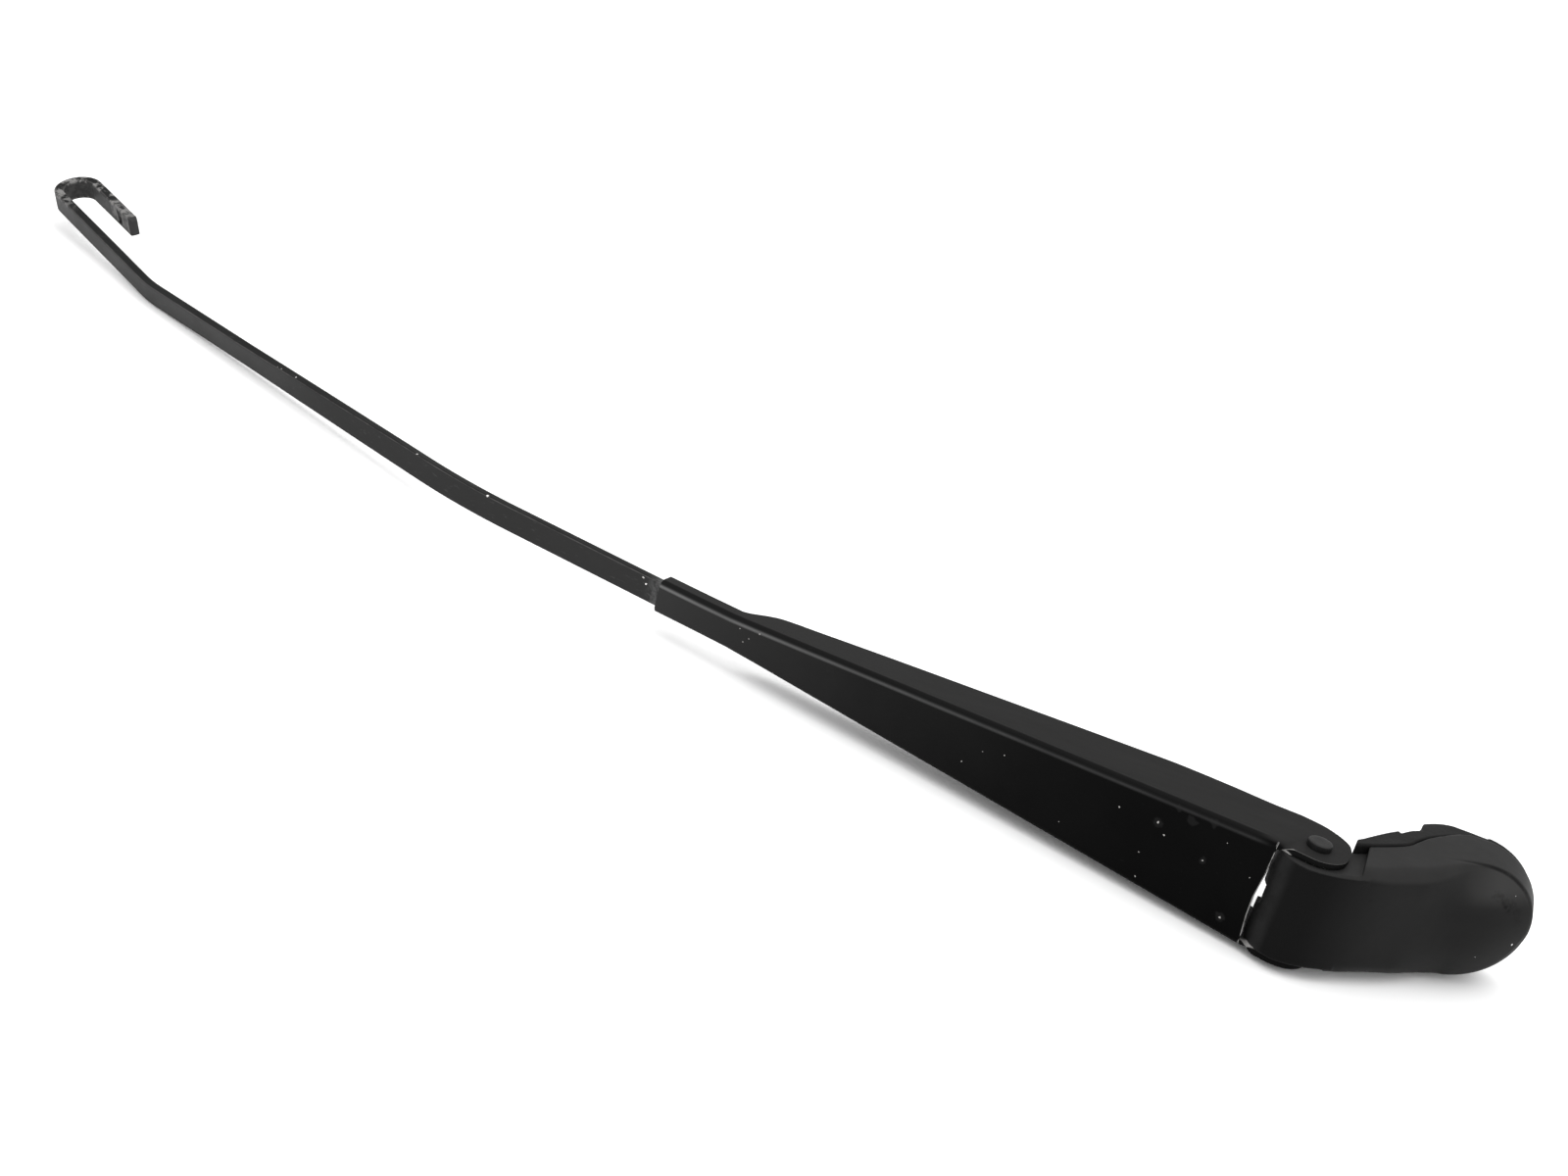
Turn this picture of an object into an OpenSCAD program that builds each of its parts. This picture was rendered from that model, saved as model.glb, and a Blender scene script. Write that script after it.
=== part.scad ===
// Windscreen wiper arm: die-cast pivot head with a hinged nut cover, pressed-steel
// channel crimped onto a flat J-hook bar, tension spring, spring link and pivot pin.
// The arm lies on its side: the pivot pin is vertical, the spindle runs along Y.
// Origin: spindle hole, centre of the nut seat. +Y faces the windscreen, -X the blade.

/* [Pivot head] */
// Distance from the pivot pin to the spindle
spindle_x = 49; // [47:0.5:51]
// Depth of the nut seat behind the pivot pin
seat_y = 33; // [32:0.5:34]
// Radius of the hole for the threaded spindle end
stud_r = 5.1; // [4.1:0.05:6.1]
// Large radius of the spindle taper
taper_r = 7.2; // [6.6:0.1:8]
// Radius of the recess for the spindle nut
nut_recess_r = 12.5; // [11:0.5:13]
// Radius of the boss inside the cover
boss_r = 17.7; // [17.2:0.1:17.8]
// Radius of the boss's rear rim
rim_r = 20.2; // [19.5:0.1:20.6]

/* [Nut cover] */
// Outer radius of the cover's round end
cap_r = 21; // [20.8:0.1:21.4]
// Wall thickness of the cover
cap_t = 2.2; // [1.8:0.1:2.3]
// Half width of the cover beside the neck
cap_hw = 20; // [19.6:0.1:20.4]
// Half width of the cover's tongue, between the ears
tongue_hw = 16.7; // [16:0.1:16.8]
// Outer radius of the tongue round the pivot pin
tongue_r = 11.3; // [10.9:0.1:11.6]

/* [Channel] */
// Angle between the channel and the plane square to the spindle
arm_dip = 10; // [6:1:12]
// Sheet thickness
sheet = 1.8; // [1.5:0.1:1.9]
// Outer half width at the wide end
wide_hw = 18.9; // [18.9:0.1:19.4]
// Outer half width at the crimped end
narrow_hw = 6.3; // [6.3:0.1:6.6]
// Outer bend radius of the folded edges
fold_r = 2.7; // [2.2:0.1:3]
// Distance from the pivot pin to the crimped end
channel_len = 234.6; // [230:0.2:240]

/* [Bar] */
// Width of the flat bar
bar_w = 9; // [8.8:0.1:9]
// Thickness of the flat bar
bar_t = 4; // [3.8:0.1:4]
// Inner radius of the hook
hook_ri = 6.5; // [6:0.1:7]
// Length of the hook's free leg
hook_leg = 38.8; // [36:0.2:42]
// Twist of the bar before the hook
bar_twist = 20; // [15:1:25]

/* [Pivot and spring] */
// Radius of the pivot pin's shank
pin_r = 2.75; // [2.5:0.05:3]
// Radius of the pivot pin's heads
pin_head_r = 3.85; // [3.6:0.05:4.2]
// Outer radius of the pivot bushes
bush_r = 4; // [3.8:0.1:4.2]
// Running clearance in radius
run_gap = 0.07; // [0.05:0.01:0.1]
// Radius of the cross pin that holds the spring link
link_pin_r = 2.25; // [2:0.05:2.5]
// Spring wire diameter
wire_d = 2.2; // [2:0.1:2.4]
// Mean radius of the spring's coils
coil_r = 5; // [4.6:0.1:5.1]
// Number of spring coils
coils = 31; // [26:1:33]

/* [Hidden] */
$fn = 96;
web_y = -9;                      // outer face of the channel's web, from the pin axis
web_end = -10.5;                 // wide end of the web
ear_in = wide_hw - sheet;        // inner faces of the ears
crimp_x = -205;                  // where the crimped sleeve meets the open channel
cheek_in = tongue_hw - 2;        // inner faces of the cover's cheeks
lug_hw = cheek_in - 0.4;         // outer faces of the head's lugs
slot_hw = 3;                     // half width of the slot for the spring link
link_at = [-1, 9];               // cross pin, from the pivot pin, head's axes
step_x = 14.4;                   // where the cover widens beside the ears

// front face of the cover, side view, from the pivot pin
face = [[0, -11.3], [4, -10.4], [8, -8.8], [12, -6.6], [16, -4.1], [20, -1.4], [24.5, 2], [29, 5.8],
        [33.5, 9.7], [38, 13.6], [42, 16.8], [46, 19.6], [50, 22], [54, 24.2], [58, 26.6], [62, 29.4],
        [65.5, 32.6], [68, 35.8], [70.5, 40]];
// rear edge of the cover's side walls
cap_rear = [[46, 47.2], [42.6, 46.7], [39.5, 44.5], [34.5, 38.9], [30.7, 34.2], [28.3, 29.5],
            [26.1, 24.7], [19, 17.4], [step_x, 13.4]];
// front and rear edges of the head's rear rim
rim_front = [[10.2, 10.6], [14.3, 14], [19, 18], [26.1, 25.3], [28.3, 30.1], [30.7, 34.8], [34.5, 39.5],
             [39.5, 45.1], [42.6, 47.3], [46, 47.8]];
rim_rear = [[42, 51.5], [38, 51.2], [35.2, 50], [32.5, 48], [28.8, 44.2], [28.5, 38.6], [25.4, 35.4], [22.6, 30.9],
            [21.9, 32.2], [18.3, 27], [14.3, 20.6], [11.6, 15.8], [10.2, 13]];

function unit(v) = v / norm(v);
// moves a side-view line square to itself, towards the rear
function inset(p, d) = [for (i = [0:len(p) - 1])
    let (t = unit(p[min(i + 1, len(p) - 1)] - p[max(i - 1, 0)])) p[i] + d * [-t[1], t[0]]];
function arc(r, a0, a1, n) = [for (i = [0:n]) let (a = a0 + (a1 - a0) * i / n) [r * cos(a), r * sin(a)]];

module head_frame() translate([-spindle_x, -seat_y, 0]) children();
module arm_frame() head_frame() rotate([0, 0, -arm_dip]) children();
module side(hw) translate([0, 0, -hw]) linear_extrude(height = 2 * hw) children();
// solid along the spindle axis, from y0 to y1 of the head's axes
module along_spindle(y0, y1) translate([0, y1, 0]) rotate([90, 0, 0]) linear_extrude(height = y1 - y0) children();
module spindle_cyl(r, y0, y1, r2 = -1) translate([spindle_x, y0, 0]) rotate([-90, 0, 0])
    cylinder(r1 = r, r2 = r2 < 0 ? r : r2, h = y1 - y0);

// ---- pivot head ----
module plan(hw, r, x0) union() {
    translate([spindle_x, 0]) circle(r = r);
    translate([x0, -hw]) square([spindle_x - x0, 2 * hw]);
}
module head_body() {
    inner = inset(face, cap_t + 0.7);
    intersection() {
        side(boss_r + 1) polygon(concat([for (i = [4:len(inner) - 1]) inner[i]], [[70, 48.5]], [[46, 48.5]], rim_rear));
        along_spindle(-10, 60) plan(17.3, boss_r, 10);
    }
}
module head_rim() intersection() {
    side(rim_r + 1) polygon(concat(rim_front, [[72, 47.8], [72, 51.5]], rim_rear));
    along_spindle(0, 60) plan(19.8, rim_r, 10.2);
}
module lugs() side(lug_hw) {
    circle(r = 8.2);
    translate(link_at) circle(r = 5);
    polygon([[-5.6, 5.8], [-5, 11.6], [3.2, 12], [10.2, 13], [14.3, 20.6], [23, 28], [24, 5.5], [17, 0.4], [12.6, -2.9], [8.5, -5.3], [3.4, -7.4]]);
}
module arm_head() color([0.16, 0.16, 0.165]) head_frame() difference() {
    union() {
        difference() {
            head_body();
            // room for the cover's step as the cover swings
            for (s = [-1, 1]) translate([0, 0, s > 0 ? lug_hw : -lug_hw - 10]) cylinder(r = 23.1, h = 10);
        }
        head_rim();
        lugs();
    }
    // slot for the spring link, and its bores
    translate([-20, -20, -slot_hw]) cube([33, 45, 2 * slot_hw]);
    translate([0, 0, -30]) cylinder(r = bush_r, h = 60);
    translate([link_at[0], link_at[1], -30]) cylinder(r = link_pin_r, h = 60);
    // spindle: nut recess, hole for the threaded end, taper
    spindle_cyl(nut_recess_r, 0, seat_y);
    spindle_cyl(stud_r, 20, 60);
    spindle_cyl(taper_r - 1, 39, 49, taper_r);
    spindle_cyl(taper_r + 0.6, 49, 60);
    // cast-out ring behind the seat, and pocket in the back of the neck
    difference() { spindle_cyl(16.1, 41, 60); spindle_cyl(11.2, 40, 49); }
    translate([0, 0, -12]) linear_extrude(height = 24)
        polygon([[19.5, 40], [19.5, 14.5], [23, 14.5], [31.5, 26.5], [31.5, 60]]);
}

// ---- nut cover ----
module nut_cap() {
    inner = inset(face, cap_t);
    color([0.13, 0.13, 0.135]) head_frame() difference() {
        intersection() {
            side(cap_r + 1) polygon(concat(arc(tongue_r, 185, 268, 14), face, [[72, 47.2]], cap_rear,
                [[9.5, 9.4], [5.5, 9.2], [0, 8.6], [-5, 7], [-8.5, 3.5]]));
            union() {
                along_spindle(-20, 60) plan(cap_hw, cap_r, step_x);
                translate([-20, -20, -tongue_hw]) cube([40, 60, 2 * tongue_hw]);
            }
        }
        // hollow behind the face
        intersection() {
            side(cap_r + 1) polygon(concat(arc(tongue_r - cap_t, 186, 268, 14), inner,
                [[66, 60], [-30, 60], [-30, -1]]));
            union() {
                along_spindle(-20, 60) plan(cap_hw - cap_t + 0.1, cap_r - cap_t, step_x + cap_t);
                translate([-40, -20, -cheek_in]) cube([60, 90, 2 * cheek_in]);
            }
        }
        translate([0, 0, -30]) cylinder(r = pin_r + run_gap, h = 60);
        // notch in the tongue that the spring link passes through
        translate([0, 0, -slot_hw]) linear_extrude(height = 2 * slot_hw)
            polygon([[0, 0], 30 * [cos(205), sin(205)], [-30, -10], [-30, 10]]);
    }
}

// ---- channel ----
module slab(x, hw, r, y0, y1) translate([x, 0, 0]) rotate([90, 0, 90]) linear_extrude(height = 0.5) polygon(concat(
    [for (i = [0:6]) let (a = 180 + 90 * i / 6) [y0 + r + r * cos(a), -hw + r + r * sin(a)]], [[y1, -hw], [y1, hw]],
    [for (i = [0:6]) let (a = 90 + 90 * i / 6) [y0 + r + r * cos(a), hw - r + r * sin(a)]]));
module tapered(t) hull() {
    slab(crimp_x - (t > 0 ? 0.5 : 0), narrow_hw - t, max(fold_r - t, 0.6), web_y + t, 40);
    slab(web_end - (t > 0 ? 0.3 : 0.5), wide_hw - t, max(fold_r - t, 0.6), web_y + t, 40);
}
flange = [[crimp_x, -2.6], [-200, -0.6], [-196, 2], [-191.5, 4.1], [-180, 5.4], [-155, 8], [-120, 11.1], [-85.6, 14.1], [-60, 16.2], [-50, 16.8],
          [-33, 16.5], [-19, 15.6], [-7, 15.9], [-1.7, 15.4], [2.4, 13.9], [5, 12.4], [6.9, 10.7], [8, 8.6], [8.8, 6.2], [9.2, 3.9]];
module retainer_channel() color([0.1, 0.1, 0.1]) arm_frame() difference() {
    union() {
        // crimped sleeve, closed round the bar with a seam at the back
        translate([-channel_len, 0, 0]) rotate([90, 0, 90]) linear_extrude(height = channel_len + crimp_x)
            let (y0 = web_y, y1 = web_y + 2 * sheet + bar_t, h = narrow_hw, r = fold_r, g = 0.35, b = bar_w / 2)
            polygon(concat([for (i = [0:6]) let (a = 180 + 90 * i / 6) [y0 + r + r * cos(a), -h + r + r * sin(a)]],
                [[y1, -h], [y1, -g], [y1 - sheet, -g], [y1 - sheet, -b], [y0 + sheet, -b],
                 [y0 + sheet, b], [y1 - sheet, b], [y1 - sheet, g], [y1, g], [y1, h]],
                [for (i = [0:6]) let (a = 90 + 90 * i / 6) [y0 + r + r * cos(a), h - r + r * sin(a)]]));
        // open channel
        difference() {
            intersection() {
                tapered(0);
                side(40) polygon(concat([[crimp_x, -30], [web_end, -30]], [[web_end, 15.7]],
                    [for (i = [len(flange) - 1:-1:0]) if (flange[i][0] < web_end) flange[i]]));
            }
            tapered(sheet);
        }
        // ears
        for (z = [ear_in, -wide_hw]) translate([0, 0, z]) linear_extrude(height = sheet)
            polygon(concat([[web_end, web_y + fold_r - 2], [web_end + 1.5, web_y + 0.4], [-4, -9.3], [-1, -9.4]], arc(9.4, 276, 378, 16),
                [for (i = [len(flange) - 1:-1:0]) if (flange[i][0] > web_end) flange[i]], [[web_end, 15.7]]));
    }
    translate([0, 0, -30]) cylinder(r = pin_r, h = 60);
}

// ---- bar: pieces laid end to end, each starting where the last one stopped ----
module bar2d(a, b) polygon([[-a / 2 + 0.5, -b / 2], [a / 2 - 0.5, -b / 2], [a / 2, -b / 2 + 0.5], [a / 2, b / 2 - 0.5],
    [a / 2 - 0.5, b / 2], [-a / 2 + 0.5, b / 2], [-a / 2, b / 2 - 0.5], [-a / 2, -b / 2 + 0.5]]);
// a straight piece reaches 0.2 mm into its neighbours, so its section is a hair smaller
module run(l) {
    translate([-0.2, 0, 0]) rotate([0, 90, 0]) linear_extrude(height = l + 0.4) bar2d(bar_w - 0.02, bar_t - 0.02);
    translate([l, 0, 0]) children();
}
module bend(r, a, roll = 0) {
    rotate([roll, 0, 0]) translate([0, -r, 0]) rotate([0, 0, 90 - a])
        rotate_extrude(angle = a, $fn = 180) translate([r, 0]) rotate(-roll) bar2d(bar_t, bar_w);
    rotate([roll, 0, 0]) translate([0, -r, 0]) rotate([0, 0, -a]) translate([0, r, 0]) rotate([-roll, 0, 0]) children();
}
module twisted(l, a) {
    n = 16;
    h = bar_t / 2 - 0.02;
    w = bar_w / 2 - 0.02;
    s = [[-h + 0.5, -w], [h - 0.5, -w], [h, -w + 0.5], [h, w - 0.5], [h - 0.5, w], [-h + 0.5, w], [-h, w - 0.5], [-h, -w + 0.5]];
    // the two end rings reach 1 mm into the neighbouring pieces
    x = [-1, for (i = [0:n]) l * i / n, l + 1];
    b = [0, for (i = [0:n]) -a * i / n, -a];
    polyhedron([for (i = [0:n + 2]) for (p = s) [x[i], p[0] * cos(b[i]) - p[1] * sin(b[i]), p[0] * sin(b[i]) + p[1] * cos(b[i])]],
        concat([for (i = [0:n + 1]) for (k = [0:7]) let (c = i * 8 + k, d = i * 8 + (k + 1) % 8) each [[c, c + 8, d], [d, c + 8, d + 8]]],
            [[for (k = [0:7]) k], [for (k = [7:-1:0]) (n + 2) * 8 + k]]));
    translate([l, 0, 0]) rotate([-a, 0, 0]) children();
}
module tip() translate([0.1, 0, 0]) rotate([0, 90, 0]) linear_extrude(height = 2.1, scale = [0.78, 0.7], $fn = 8) bar2d(bar_w - 0.04, bar_t - 0.04);
tab_x = -162.5;                  // inner end of the bar
tab_y = web_y + sheet + bar_t / 2 + 4.5;
module arm_rod() color([0.17, 0.17, 0.175]) arm_frame() difference() {
    translate([tab_x, tab_y, 0]) rotate([0, 0, 180])
        run(10) bend(8, 25, 180) run(7.1) bend(8, 25) run(channel_len + tab_x - 10 - 13.2)
        bend(150, 0.74) run(66.2) bend(248.6, 10.5) run(8.5) twisted(106, bar_twist) run(65.5)
        bend(90, 8, -24) run(83.8) bend(hook_ri + bar_t / 2, 180) run(hook_leg - 2.2) tip();
    // hole for the spring's end hook
    translate([-168, 0, 0]) rotate([90, 0, 0]) cylinder(r = 2.3, h = 30, center = true);
}

// ---- pivot ----
module hinge_pin() color([0.2, 0.2, 0.2]) arm_frame() rotate_extrude()
    polygon([[0, -wide_hw - 2], [pin_head_r - 0.5, -wide_hw - 2], [pin_head_r, -wide_hw - 1.6], [pin_head_r, -wide_hw], [pin_r, -wide_hw],
             [pin_r, wide_hw], [pin_head_r, wide_hw], [pin_head_r, wide_hw + 1.6], [pin_head_r - 0.5, wide_hw + 2], [0, wide_hw + 2]]);
module bush(s) color([0.55, 0.42, 0.2]) head_frame() rotate([s > 0 ? 0 : 180, 0, 0]) translate([0, 0, slot_hw]) difference() {
    cylinder(r = bush_r, h = lug_hw - slot_hw);
    translate([0, 0, -1]) cylinder(r = pin_r + run_gap, h = 30);
}
module link_pin() color([0.6, 0.6, 0.6]) head_frame() translate([link_at[0], link_at[1], -lug_hw + 0.5])
    cylinder(r = link_pin_r, h = 2 * lug_hw - 1);

// ---- spring link and spring, in the arm's axes ----
link_c = [link_at[0] * cos(arm_dip) - link_at[1] * sin(arm_dip), link_at[0] * sin(arm_dip) + link_at[1] * cos(arm_dip)];
hook_a = [-168, tab_y];
pull = atan2(link_c[1] - hook_a[1], link_c[0] - hook_a[0]);
link_len = 34;
module spring_link() color([0.5, 0.5, 0.52]) arm_frame() translate([link_c[0], link_c[1], 0]) rotate([0, 0, pull]) difference() {
    union() {
        side(2) circle(r = 4.2);
        translate([-link_len, 0, 0]) side(2) circle(r = 4);
        // bows towards the windscreen, to pass round the cover's tongue when the arm is raised
        side(2) polygon([[1, -4], [-2.6, -1], [-5.2, 2.8], [-7.2, 5.6], [-8.6, 6.6], [-10.6, 6.5], [-12.8, 5.7], [-15, 4.5], [-17.4, 2], [-19.4, -0.8],
            [-23, -2.2], [-link_len, -2.6], [-link_len, 3.2], [-28, 2.4], [-23.5, 2.8], [-20, 5.4], [-16.4, 8.2], [-12.6, 9.6],
            [-8.8, 9.9], [-5, 8.6], [-1.5, 6.4], [1, 4]]);
    }
    translate([0, 0, -5]) cylinder(r = link_pin_r + run_gap, h = 10);
    translate([-link_len, 0, -5]) cylinder(r = 2.2, h = 10);
}

span = norm(link_c - hook_a) - link_len;     // between the two spring hooks
function coil_path() = let (x0 = 15, x1 = span - 9, n = coils * 12) concat(
    [for (i = [0:8]) let (a = 270 - 22.5 * i) [3.4 + 3.3 * cos(a), 3.3 * sin(a), 0]],
    [[7, 3.5, 0], [11, 4.2, 0]],
    [for (i = [0:n]) let (a = 90 + 360 * i / 12) [x0 + (x1 - x0) * i / n, coil_r * cos(a - 90), coil_r * sin(a - 90)]],
    [for (i = [1:2]) let (a = 45 * i) [x1 + 0.7 * i, (coil_r - 0.3 * i) * cos(a), (coil_r - 0.3 * i) * sin(a)]],
    [[span - 6, 0, 4.3]],
    [for (i = [0:8]) let (a = 90 - 22.5 * i) [span - 4.2 + 4.2 * cos(a), 0, 4.2 * sin(a)]],
    [[span - 7, 0, -4]]);
function tangents(p) = [for (i = [0:len(p) - 1]) unit(p[min(i + 1, len(p) - 1)] - p[max(i - 1, 0)])];
function frames(t, i = 0, acc = []) = i == len(t) ? acc :
    let (prev = i == 0 ? [0.1, 0.2, 1] : acc[i - 1]) frames(t, i + 1, concat(acc, [unit(prev - t[i] * (prev * t[i]))]));
module wire(p, r, sides) {
    t = tangents(p);
    n = frames(t);
    m = len(p);
    pts = [for (i = [0:m - 1]) for (k = [0:sides - 1]) let (a = 360 * k / sides) p[i] + r * (cos(a) * n[i] + sin(a) * cross(t[i], n[i]))];
    quads = [for (i = [0:m - 2]) for (k = [0:sides - 1]) let (a = i * sides + k, b = i * sides + (k + 1) % sides)
        each [[a, a + sides, b], [b, a + sides, b + sides]]];
    polyhedron(pts, concat(quads, [[for (k = [0:sides - 1]) k], [for (k = [sides - 1:-1:0]) (m - 1) * sides + k]]), convexity = 10);
}
module tension_spring() color([0.45, 0.45, 0.46]) arm_frame() translate([hook_a[0], hook_a[1], 0]) rotate([0, 0, pull])
    wire(coil_path(), wire_d / 2, 6);

arm_head();
nut_cap();
retainer_channel();
arm_rod();
hinge_pin();
bush(1);  // pivot_bush_upper
bush(-1);  // pivot_bush_lower
link_pin();
spring_link();
tension_spring();
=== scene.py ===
import math
import bpy
import numpy as np
from mathutils import Matrix


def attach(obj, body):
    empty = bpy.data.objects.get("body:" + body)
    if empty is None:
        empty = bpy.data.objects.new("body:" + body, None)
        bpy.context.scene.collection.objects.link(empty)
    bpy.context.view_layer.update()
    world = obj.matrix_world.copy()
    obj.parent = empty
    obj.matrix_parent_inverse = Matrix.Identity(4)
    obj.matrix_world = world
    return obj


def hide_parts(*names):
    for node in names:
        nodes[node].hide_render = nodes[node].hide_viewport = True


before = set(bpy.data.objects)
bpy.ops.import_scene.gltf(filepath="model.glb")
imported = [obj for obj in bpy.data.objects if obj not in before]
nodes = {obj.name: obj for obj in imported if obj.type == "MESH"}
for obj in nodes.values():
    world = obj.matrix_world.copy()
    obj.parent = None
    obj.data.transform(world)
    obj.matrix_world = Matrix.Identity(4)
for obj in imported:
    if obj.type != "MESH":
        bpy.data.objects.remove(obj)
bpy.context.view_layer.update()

# Lengths below are in millimetres in two working frames, both with the pivot pin's axis at x = 0, y = 0.
# The head's axes are the row's, moved; the arm's are turned 10 degrees about the pin.
C10, S10 = math.cos(math.radians(10)), math.sin(math.radians(10))


def row_of_head(p):
    p = np.asarray(p, float).reshape(-1, 3)
    return (p - np.array([49.0, 33.0, 0.0])) / 1000


def row_of_arm(p):
    p = np.asarray(p, float).reshape(-1, 3)
    q = np.stack([p[:, 0] * C10 + p[:, 1] * S10, -p[:, 0] * S10 + p[:, 1] * C10, p[:, 2]], 1)
    return row_of_head(q)


# ------------------------------------------------------------------ meshes
def make(name, verts, faces, body, replaced=(), attrs=None):
    """A mesh piece from row-frame vertices in metres."""
    me = bpy.data.meshes.new(name)
    me.from_pydata(np.asarray(verts).tolist(), [], [list(map(int, f)) for f in faces])
    me.validate()
    for key, vals in (attrs or {}).items():
        a = me.attributes.new(key, "FLOAT", "POINT")
        a.data.foreach_set("value", np.asarray(vals, np.float32))
    me.polygons.foreach_set("use_smooth", [True] * len(me.polygons))
    me.update()
    o = bpy.data.objects.new(name, me)
    bpy.context.scene.collection.objects.link(o)
    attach(o, body)
    if replaced:
        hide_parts(*replaced)
    return o


def bevel(o, width, segments=2, angle=35):
    m = o.modifiers.new("edge", "BEVEL")
    m.width = width / 1000
    m.segments = segments
    m.limit_method = "ANGLE"
    m.angle_limit = math.radians(angle)
    m.harden_normals = False
    m.use_clamp_overlap = True
    return m


def sharp(o, angle):
    o.data.set_sharp_from_angle(angle=math.radians(angle))


def smooth_line(pts, step):
    """A Catmull-Rom curve through pts, sampled about every step."""
    p = np.asarray(pts, float)
    q = np.vstack([2 * p[0] - p[1], p, 2 * p[-1] - p[-2]])
    out = []
    for i in range(1, len(q) - 2):
        n = max(1, int(round(np.linalg.norm(q[i + 1] - q[i]) / step)))
        for k in range(n):
            t = k / n
            a, b, c, d = q[i - 1], q[i], q[i + 1], q[i + 2]
            out.append(0.5 * (2 * b + (c - a) * t + (2 * a - 5 * b + 4 * c - d) * t * t + (3 * b - a - 3 * c + d) * t ** 3))
    out.append(p[-1])
    return np.array(out)


def smoothstep(a, b, x):
    t = np.clip((x - a) / (b - a), 0, 1)
    return t * t * (3 - 2 * t)


# ------------------------------------------------------------------ distance-field solids
def poly_sd(x, y, poly):
    """Signed distance to a polygon in a plane, negative inside."""
    d2, inside = None, None
    n = len(poly)
    for i in range(n):
        ax, ay = poly[i]
        bx, by = poly[(i + 1) % n]
        ex, ey = bx - ax, by - ay
        l2 = ex * ex + ey * ey
        if l2 < 1e-12:
            continue
        wx, wy = x - ax, y - ay
        t = np.clip((wx * ex + wy * ey) / l2, 0, 1)
        dd = (wx - ex * t) ** 2 + (wy - ey * t) ** 2
        d2 = dd if d2 is None else np.minimum(d2, dd)
        if ey != 0:
            c = ((ay > y) != (by > y)) & (x < ex * (y - ay) / ey + ax)
            inside = c if inside is None else inside ^ c
    return np.where(inside, -1, 1) * np.sqrt(d2)


def cut(a, b, r):
    """Common part of two solids, with its outer edge rounded to r."""
    return np.minimum(np.maximum(a, b), -r) + np.hypot(np.maximum(a + r, 0), np.maximum(b + r, 0))


def join(a, b, r):
    """Two solids as one, with the inner corner filleted to r."""
    return np.maximum(np.minimum(a, b), r) - np.hypot(np.maximum(r - a, 0), np.maximum(r - b, 0))


def nets(f, lo, hi, h):
    """Vertices and quads of the surface f = 0, with normals towards f > 0."""
    ax = [np.arange(lo[i], hi[i] + h, h) for i in range(3)]
    X, Y, Z = ax[0][:, None, None], ax[1][None, :, None], ax[2][None, None, :]
    F = np.array(np.broadcast_to(f(X, Y, Z), (len(ax[0]), len(ax[1]), len(ax[2]))), float)
    S = F < 0
    cor = [(i, j, k) for i in (0, 1) for j in (0, 1) for k in (0, 1)]
    n0, n1, n2 = F.shape
    cnt = sum(S[i:n0 - 1 + i, j:n1 - 1 + j, k:n2 - 1 + k].astype(np.int8) for i, j, k in cor)
    act = (cnt > 0) & (cnt < 8)
    I, J, K = np.nonzero(act)
    idx = -np.ones(act.shape, np.int64)
    idx[act] = np.arange(len(I))
    acc, num = np.zeros((len(I), 3)), np.zeros(len(I))
    for a in cor:
        for d in range(3):
            if a[d]:
                continue
            b = list(a)
            b[d] = 1
            fa, fb = F[I + a[0], J + a[1], K + a[2]], F[I + b[0], J + b[1], K + b[2]]
            m = (fa < 0) != (fb < 0)
            t = fa[m] / (fa[m] - fb[m])
            p = np.tile(np.array(a, float), (int(m.sum()), 1))
            p[:, d] += t
            acc[m] += p
            num[m] += 1
    V = np.array(lo, float) + (np.stack([I, J, K], 1) + acc / num[:, None]) * h
    quads = []
    for d in range(3):
        e, g = (d + 1) % 3, (d + 2) % 3
        sl = [slice(None)] * 3
        s0, s1 = list(sl), list(sl)
        s0[d], s1[d] = slice(0, -1), slice(1, None)
        A, B = S[tuple(s0)], S[tuple(s1)]
        P = np.argwhere(A != B)
        P = P[(P[:, e] > 0) & (P[:, g] > 0) & (P[:, e] < F.shape[e] - 1) & (P[:, g] < F.shape[g] - 1)]
        q = []
        for de, dg in ((1, 1), (0, 1), (0, 0), (1, 0)):
            c = P.copy()
            c[:, e] -= de
            c[:, g] -= dg
            q.append(idx[c[:, 0], c[:, 1], c[:, 2]])
        q = np.stack(q, 1)
        out = A[P[:, 0], P[:, 1], P[:, 2]]
        q[~out] = q[~out][:, ::-1]
        quads.append(q)
    quads = np.vstack(quads)
    # bring each vertex onto the surface
    e = 0.04
    x, y, z = V[:, 0], V[:, 1], V[:, 2]
    g = np.stack([f(x + e, y, z) - f(x - e, y, z), f(x, y + e, z) - f(x, y - e, z), f(x, y, z + e) - f(x, y, z - e)], 1) / (2 * e)
    v = f(x, y, z)
    step = -v / np.maximum((g ** 2).sum(1), 0.3)
    step = np.clip(step, -0.35 * h, 0.35 * h)
    return V + g * step[:, None], quads


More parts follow.
